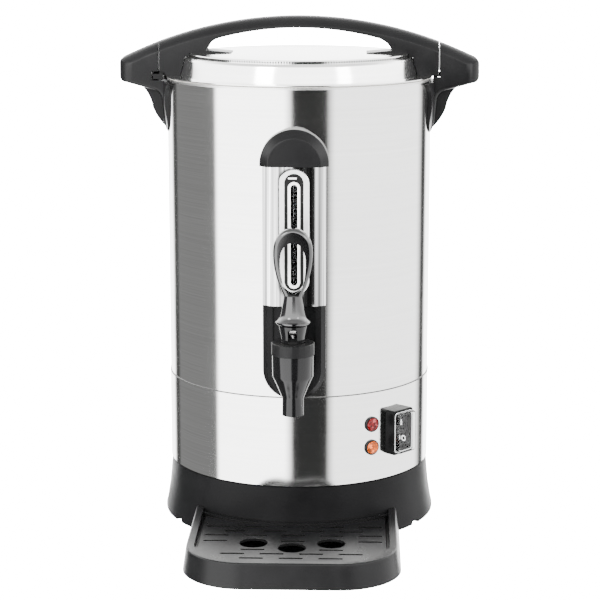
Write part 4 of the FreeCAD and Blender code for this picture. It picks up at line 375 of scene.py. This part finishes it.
class URN_OT_lid(bpy.types.Operator):
    """Steel lid with its silicone gasket"""
    bl_idname = "urn.lid"
    bl_label = "Lid"

    def execute(self, context):
        dress(brushed_steel("lid_satin_steel", finishes().steel, (5, 5, 2200), (0.10, 0.15)), "lid_cover")
        dress(moulded_plastic("silicone_rubber", finishes().silicone, (0.45, 0.6)), "lid_gasket",
              "gauge_seals", "seat_cup", "tap_washers")
        self.vents()
        return {"FINISHED"}

    def vents(self):
        """Row of small dark boxes round the side of the raised disc: painted shade standing for the
        shadowed openings of the steam vents.
        """
        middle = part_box("lid_cover")[1][2] - VENT_DROP
        form = bmesh.new()
        for index in range(VENT_COUNT):
            turn = Matrix.Rotation(2 * math.pi * index / VENT_COUNT, 4, "Z")
            place = turn @ Matrix.Translation((0, -RAISED_DISC_RADIUS, middle))
            bmesh.ops.create_cube(form, size=1.0, matrix=place @ Matrix.Diagonal((*VENT_SIZE, 1)))
        # Painted shade: near-black material for the vent openings
        dark = moulded_plastic("vent_shadow", (0.004, 0.004, 0.004), (0.5, 0.6), shine=0.1)
        add_piece("lid_vent_shade", form, dark, "lid")


class URN_OT_level_gauge(bpy.types.Operator):
    """Level gauge with its cap, cover with painted reflection streaks, panel, frame and glass tube"""
    bl_idname = "urn.level_gauge"
    bl_label = "Level gauge"

    def execute(self, context):
        dress(moulded_plastic("gauge_satin_plastic", finishes().plastic), "gauge_cap", "tap_housing")
        # The cover's colour carries painted reflection streaks
        dress(painted_reflection_steel("cover_painted_reflection_steel", (0.80, 0.80, 0.80)), "gauge_cover")
        dress(moulded_plastic("panel_gloss_plastic", (0.008, 0.008, 0.008), (0.12, 0.2)), "gauge_panel")
        dress(moulded_plastic("frame_white_trim", (0.90, 0.90, 0.89), (0.2, 0.3)), "gauge_frame")
        dress(clear_plastic("gauge_glass", (0.55, 0.57, 0.60), 0.05, 1.3), "gauge_tube")
        self.level_marks()
        self.full_mark()
        return {"FINISHED"}

    def level_marks(self):
        """Dark level lines printed round the front of the glass tube."""
        low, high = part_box("gauge_tube")
        line_y, radius = (low[1] + high[1]) / 2, (high[0] - low[0]) / 2 + INK_STAND
        form = bmesh.new()
        middle = Vector((0, line_y, 0))
        start = middle + Matrix.Rotation(-MARK_SWEEP / 2, 3, "Z") @ Vector((0, -radius, 0))
        for row in range(MARK_COUNT):
            height = LOWEST_MARK + row * MARK_PITCH
            ends = [form.verts.new(start + Vector((0, 0, height + rise)))
                    for rise in (-MARK_HALF_HEIGHT, MARK_HALF_HEIGHT)]
            bmesh.ops.spin(form, geom=[*ends, form.edges.new(ends)], cent=middle, axis=(0, 0, 1),
                           angle=MARK_SWEEP, steps=MARK_STEPS)
        form.normal_update()
        inward = [face for face in form.faces
                  if face.normal.xy.dot(face.calc_center_median().xy - middle.xy) < 0]
        bmesh.ops.reverse_faces(form, faces=inward)
        ink = moulded_plastic("level_mark_ink", (0.01, 0.01, 0.011), (0.4, 0.5))
        add_piece("level_marks", form, ink, "urn")

    def full_mark(self):
        """Plain light bar that marks the highest level on the panel."""
        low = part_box("gauge_panel")[0]
        form = bmesh.new()
        place = Matrix.Translation((FULL_MARK_OFFSET, low[1], FULL_MARK))
        bmesh.ops.create_cube(form, size=1.0, matrix=place @ Matrix.Diagonal((*FULL_MARK_SIZE, 1)))
        paint = moulded_plastic("mark_white_paint", (0.75, 0.75, 0.74), (0.4, 0.5))
        add_piece("full_mark", form, paint, "urn")


class URN_OT_tap(bpy.types.Operator):
    """Lever tap with its valve parts"""
    bl_idname = "urn.tap"
    bl_label = "Tap"

    def execute(self, context):
        tone = finishes().plastic
        dress(moulded_plastic("tap_satin_plastic", tone, (0.08, 0.13), shine=0.22), "tap_body",
              "tap_bonnet")
        dress(moulded_plastic("lever_gloss_plastic", tone, (0.09, 0.14), strength=0.1, shine=0.6,
                              ior=1.55), "tap_lever")
        dress(moulded_plastic("collar_matt_plastic", tone, (0.38, 0.5)), "tap_collar")
        steel = plain_metal("valve_turned_steel", (0.62, 0.62, 0.61))
        dress(steel, "tap_stem", "lever_pin", "tap_nut")
        self.spring(steel)
        dress(moulded_plastic("spacer_nylon", (0.70, 0.69, 0.65), (0.4, 0.5)), "tap_spacer")
        return {"FINISHED"}

    def spring(self, steel):
        """Valve spring, a welded copy of the packed spring node, which is hidden in its place; the copy
        keeps its length as the stem rises.
        """
        form = bmesh.new()
        form.from_mesh(NODES["tap_spring"].data)
        bmesh.ops.remove_doubles(form, verts=form.verts, dist=WELD_DISTANCE)
        coil = add_piece("tap_spring_coil", form, steel, "urn")
        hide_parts("tap_spring")
        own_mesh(coil)


class URN_OT_controls(bpy.types.Operator):
    """Indicator lamps and rocker switch"""
    bl_idname = "urn.controls"
    bl_label = "Lamps and switch"

    def execute(self, context):
        looks = finishes()
        dress(lamp_plastic_painted_glints("lens_red", looks.red_lens), "lamp_lens_red")
        dress(lamp_plastic_painted_glints("lens_amber", looks.amber_lens), "lamp_lens_amber")
        dress(moulded_plastic("lamp_black_plastic", looks.plastic, (0.25, 0.35)), "lamp_holders")
        dress(moulded_plastic("nut_nylon", (0.8, 0.79, 0.75), (0.4, 0.5)), "lamp_nuts")
        dress(moulded_plastic("switch_black_plastic", looks.plastic, (0.25, 0.33), shine=0.04),
              "switch_surround", "switch_rocker")
        dress(clear_plastic("switch_clear_cover", (0.93, 0.94, 0.94), 0.06, 1.18), "switch_cover")
        dress(plain_metal("terminal_brass", (0.80, 0.58, 0.26)), "switch_terminals")
        self.rocker_marks()
        return {"FINISHED"}

    def rocker_marks(self):
        """Plain bar and ring on the two halves of the rocker's face."""
        place = (Matrix.Rotation(SWITCH_AZIMUTH, 4, "Z")
                 @ Matrix.Translation((0, -ROCKER_PIVOT_LINE, ROCKER_PIVOT_HEIGHT))
                 @ Matrix.Rotation(-ROCKER_TILT, 4, "X"))
        form = bmesh.new()
        bmesh.ops.create_cube(form, size=1.0, matrix=face_place(place, ROCKER_MARK_OFFSET)
                              @ Matrix.Diagonal((*ROCKER_BAR_SIZE, 1)))
        middle = face_place(place, -ROCKER_MARK_OFFSET)
        ring = bmesh.ops.create_circle(form, segments=32, radius=ROCKER_RING_RADIUS, matrix=middle)
        wire = [edge for edge in form.edges if all(corner in ring["verts"] for corner in edge.verts)]
        grown = bmesh.ops.extrude_edge_only(form, edges=wire)
        inner = [part for part in grown["geom"] if isinstance(part, bmesh.types.BMVert)]
        bmesh.ops.scale(form, vec=(ROCKER_RING_HOLE,) * 3, space=middle.inverted(), verts=inner)
        paint = moulded_plastic("rocker_white_paint", (0.8, 0.8, 0.8), (0.4, 0.5))
        add_piece("rocker_marks", form, paint, "rocker")


class URN_OT_power_inlet(bpy.types.Operator):
    """Appliance inlet at the back"""
    bl_idname = "urn.power_inlet"
    bl_label = "Power inlet"

    def execute(self, context):
        dress(moulded_plastic("inlet_black_plastic", finishes().plastic, (0.35, 0.45)), "power_inlet")
        dress(plain_metal("pin_nickel", (0.74, 0.71, 0.66), (0.15, 0.25)), "inlet_pins")
        return {"FINISHED"}


class URN_OT_heater(bpy.types.Operator):
    """Heater plate, elements and temperature controls"""
    bl_idname = "urn.heater"
    bl_label = "Heater"

    def execute(self, context):
        dress(plain_metal("heater_cast_aluminium", (0.75, 0.75, 0.75), (0.4, 0.55), 900.0),
              "heater_plate")
        dress(plain_metal("element_stained_steel", (0.40, 0.36, 0.32), (0.35, 0.5)),
              "boil_element", "keep_warm_element")
        dress(plain_metal("control_can_steel", (0.62, 0.62, 0.60)), "thermostat", "thermal_cutout")
        return {"FINISHED"}


class URN_OT_percolator(bpy.types.Operator):
    """Percolator stem, valve, basket and spreader"""
    bl_idname = "urn.percolator"
    bl_label = "Percolator"

    def execute(self, context):
        dress(plain_metal("percolator_aluminium", (0.80, 0.80, 0.79), (0.25, 0.38), 700.0),
              "percolator_stem", "stem_valve", "coffee_basket", "basket_spreader")
        return {"FINISHED"}


class URN_OT_tray(bpy.types.Operator):
    """Drip tray and its grille"""
    bl_idname = "urn.tray"
    bl_label = "Drip tray"

    def execute(self, context):
        tone = finishes().base_plastic
        dress(moulded_plastic("tray_satin_plastic", tone, (0.30, 0.40)), "drip_tray")
        dress(moulded_plastic("grille_satin_plastic", tone, (0.26, 0.36)), "drip_grille")
        return {"FINISHED"}


# Studio round the urn: where each soft box, grey wall or black flag starts and stops, in turns from
# the front towards +X, and its brightness
STUDIO = (
    (-0.50, -0.41, 8.0),
    (-0.39, -0.37, 0.1),
    (-0.36, -0.21, 0.3),
    (-0.20, -0.03, 8.0),
    (-0.01, 0.07, 0.05),
    (0.09, 0.35, 4.0),
    (0.38, 0.40, 0.1),
    (0.42, 0.50, 8.0),
)

# Brightness of the ring above the soft boxes and of the ceiling, and the heights that each blends over
TOP_RING = 8.0
TOP_RING_HEIGHTS = (0.8, 1.4)
CEILING = 2.5
CEILING_HEIGHTS = (2.8, 4.2)
WHITE_STRENGTH = 20.0
FLOOR_RADIUS = 6.0
SURROUND_RADIUS = 5.5


class URN_OT_stage(bpy.types.Operator):
    """Pale floor, soft studio light and the camera"""
    bl_idname = "urn.stage"
    bl_label = "Studio"

    def execute(self, context):
        settings = context.scene.urn_stage
        self.camera(context, settings)
        self.floor(settings)
        self.surround()
        self.lights(context)
        return {"FINISHED"}

    def camera(self, context, settings):
        lens = bpy.data.cameras.new("camera")
        lens.sensor_width = 36
        lens.lens = settings.focal_length
        item = bpy.data.objects.new("camera", lens)
        context.scene.collection.objects.link(item)
        azimuth, reach = settings.camera_azimuth, settings.camera_distance
        item.location = (reach * math.sin(azimuth), -reach * math.cos(azimuth), settings.camera_height)
        item.rotation_euler = (math.pi / 2 - settings.camera_pitch, 0, azimuth - settings.camera_yaw)
        context.scene.camera = item

    def floor(self, settings):
        form = bmesh.new()
        bmesh.ops.create_circle(form, cap_ends=True, segments=96, radius=FLOOR_RADIUS)
        material, shader = new_material("stage_pale_floor")
        shader.inputs["Base Color"].default_value = (*settings.floor_colour, 1.0)
        shader.inputs["Roughness"].default_value = 0.9
        shader.inputs["Emission Color"].default_value = (1, 1, 1, 1)
        shader.inputs["Emission Strength"].default_value = WHITE_STRENGTH
        floor = new_object("stage_floor", form, material)
        floor.visible_diffuse = False
        floor.visible_glossy = False
        floor.visible_transmission = False

    def surround(self):
        form = bmesh.new()
        bmesh.ops.create_uvsphere(form, u_segments=96, v_segments=48, radius=SURROUND_RADIUS)
        bmesh.ops.reverse_faces(form, faces=form.faces)
        material = bpy.data.materials.new("stage_light_bands")
        material.use_nodes = True
        nodes, links = material.node_tree.nodes, material.node_tree.links
        nodes.remove(nodes["Principled BSDF"])
        turn = texture(material, "ShaderNodeTexGradient")
        turn.gradient_type = "RADIAL"
        mapping = turn.inputs["Vector"].links[0].from_node
        mapping.inputs["Rotation"].default_value = (0, 0, math.pi / 2)
        split = nodes.new("ShaderNodeSeparateXYZ")
        links.new(mapping.inputs["Vector"].links[0].from_socket, split.inputs["Vector"])
        stops = [(place + 0.5, (level / TOP_RING,) * 3)
                 for start, stop, level in STUDIO for place in (start, stop)]
        blend = nodes.new("ShaderNodeMix")
        blend.data_type = "RGBA"
        links.new(spread(material, split.outputs["Z"], 0.0, 1.0, *TOP_RING_HEIGHTS),
                  blend.inputs["Factor"])
        links.new(ramp(material, turn.outputs["Fac"], *stops), blend.inputs["A"])
        blend.inputs["B"].default_value = (1, 1, 1, 1)
        light = nodes.new("ShaderNodeEmission")
        links.new(blend.outputs["Result"], light.inputs["Color"])
        links.new(spread(material, split.outputs["Z"], TOP_RING, CEILING, *CEILING_HEIGHTS),
                  light.inputs["Strength"])
        links.new(light.outputs["Emission"], nodes["Material Output"].inputs["Surface"])
        dome = new_object("stage_surround", form, material)
        dome.visible_camera = False
        dome.visible_shadow = False

    def lights(self, context):
        world = bpy.data.worlds.new("studio")
        world.use_nodes = True
        world.node_tree.nodes["Background"].inputs["Color"].default_value = (1, 1, 1, 1)
        world.node_tree.nodes["Background"].inputs["Strength"].default_value = WHITE_STRENGTH
        context.scene.world = world
        for name, place, size, power in (("key", (-1.1, -1.7, 1.5), 0.7, 30.0),
                                         ("fill", (1.5, -1.4, 1.2), 0.5, 10.0)):
            lamp = bpy.data.lights.new(name, "AREA")
            lamp.size = size
            lamp.energy = power
            item = bpy.data.objects.new(name, lamp)
            context.scene.collection.objects.link(item)
            item.location = place
            aim = Vector((0, 0, 0.2)) - Vector(place)
            item.rotation_euler = aim.to_track_quat("-Z", "Y").to_euler()
            item.visible_camera = False


def face_place(place, up):
    """Place on the rocker's outer face, at a height above or below its crease, with Z out of it."""
    slope = math.atan2(ROCKER_END_STAND - ROCKER_CREASE_STAND, ROCKER_HALF_HEIGHT)
    out = ROCKER_CREASE_STAND + abs(up) * math.tan(slope) + ROCKER_PAINT_STAND
    tip = Matrix.Rotation(math.pi / 2 + math.copysign(slope, up), 4, "X")
    return place @ Matrix.Translation((0, -out, up)) @ tip


def add_piece(name, form, material, body):
    """New visual piece from a finished bmesh, riding a body."""
    item = new_object(name, form, material)
    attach(item, body)
    return item


def new_object(name, form, material):
    """Object from a finished bmesh, at the origin."""
    mesh = bpy.data.meshes.new(name)
    form.to_mesh(mesh)
    form.free()
    mesh.materials.append(material)
    item = bpy.data.objects.new(name, mesh)
    bpy.context.scene.collection.objects.link(item)
    return item


OPERATORS = (
    URN_OT_steel_body, URN_OT_base, URN_OT_handles, URN_OT_lid, URN_OT_level_gauge, URN_OT_tap,
    URN_OT_controls, URN_OT_power_inlet, URN_OT_heater, URN_OT_percolator, URN_OT_tray, URN_OT_stage,
)


class URN_PT_panel(bpy.types.Panel):
    """Finishes, stage settings and the urn's pieces"""
    bl_label = "Coffee urn"
    bl_idname = "URN_PT_panel"
    bl_space_type = "VIEW_3D"
    bl_region_type = "UI"
    bl_category = "Urn"

    def draw(self, context):
        for group in (context.scene.urn_finishes, context.scene.urn_stage):
            for name in group.__annotations__:
                self.layout.prop(group, name)
        for operator in OPERATORS:
            self.layout.operator(operator.bl_idname)


CLASSES = (UrnFinishes, UrnStage, *OPERATORS, URN_PT_panel)


def register():
    for item in CLASSES:
        bpy.utils.register_class(item)
    bpy.types.Scene.urn_finishes = PointerProperty(type=UrnFinishes)
    bpy.types.Scene.urn_stage = PointerProperty(type=UrnStage)


def unregister():
    del bpy.types.Scene.urn_stage
    del bpy.types.Scene.urn_finishes
    for item in reversed(CLASSES):
        bpy.utils.unregister_class(item)


def main():
    register()
    for operator in OPERATORS:
        group, name = operator.bl_idname.split(".")
        getattr(getattr(bpy.ops, group), name)()


if __name__ == "__main__":
    main()
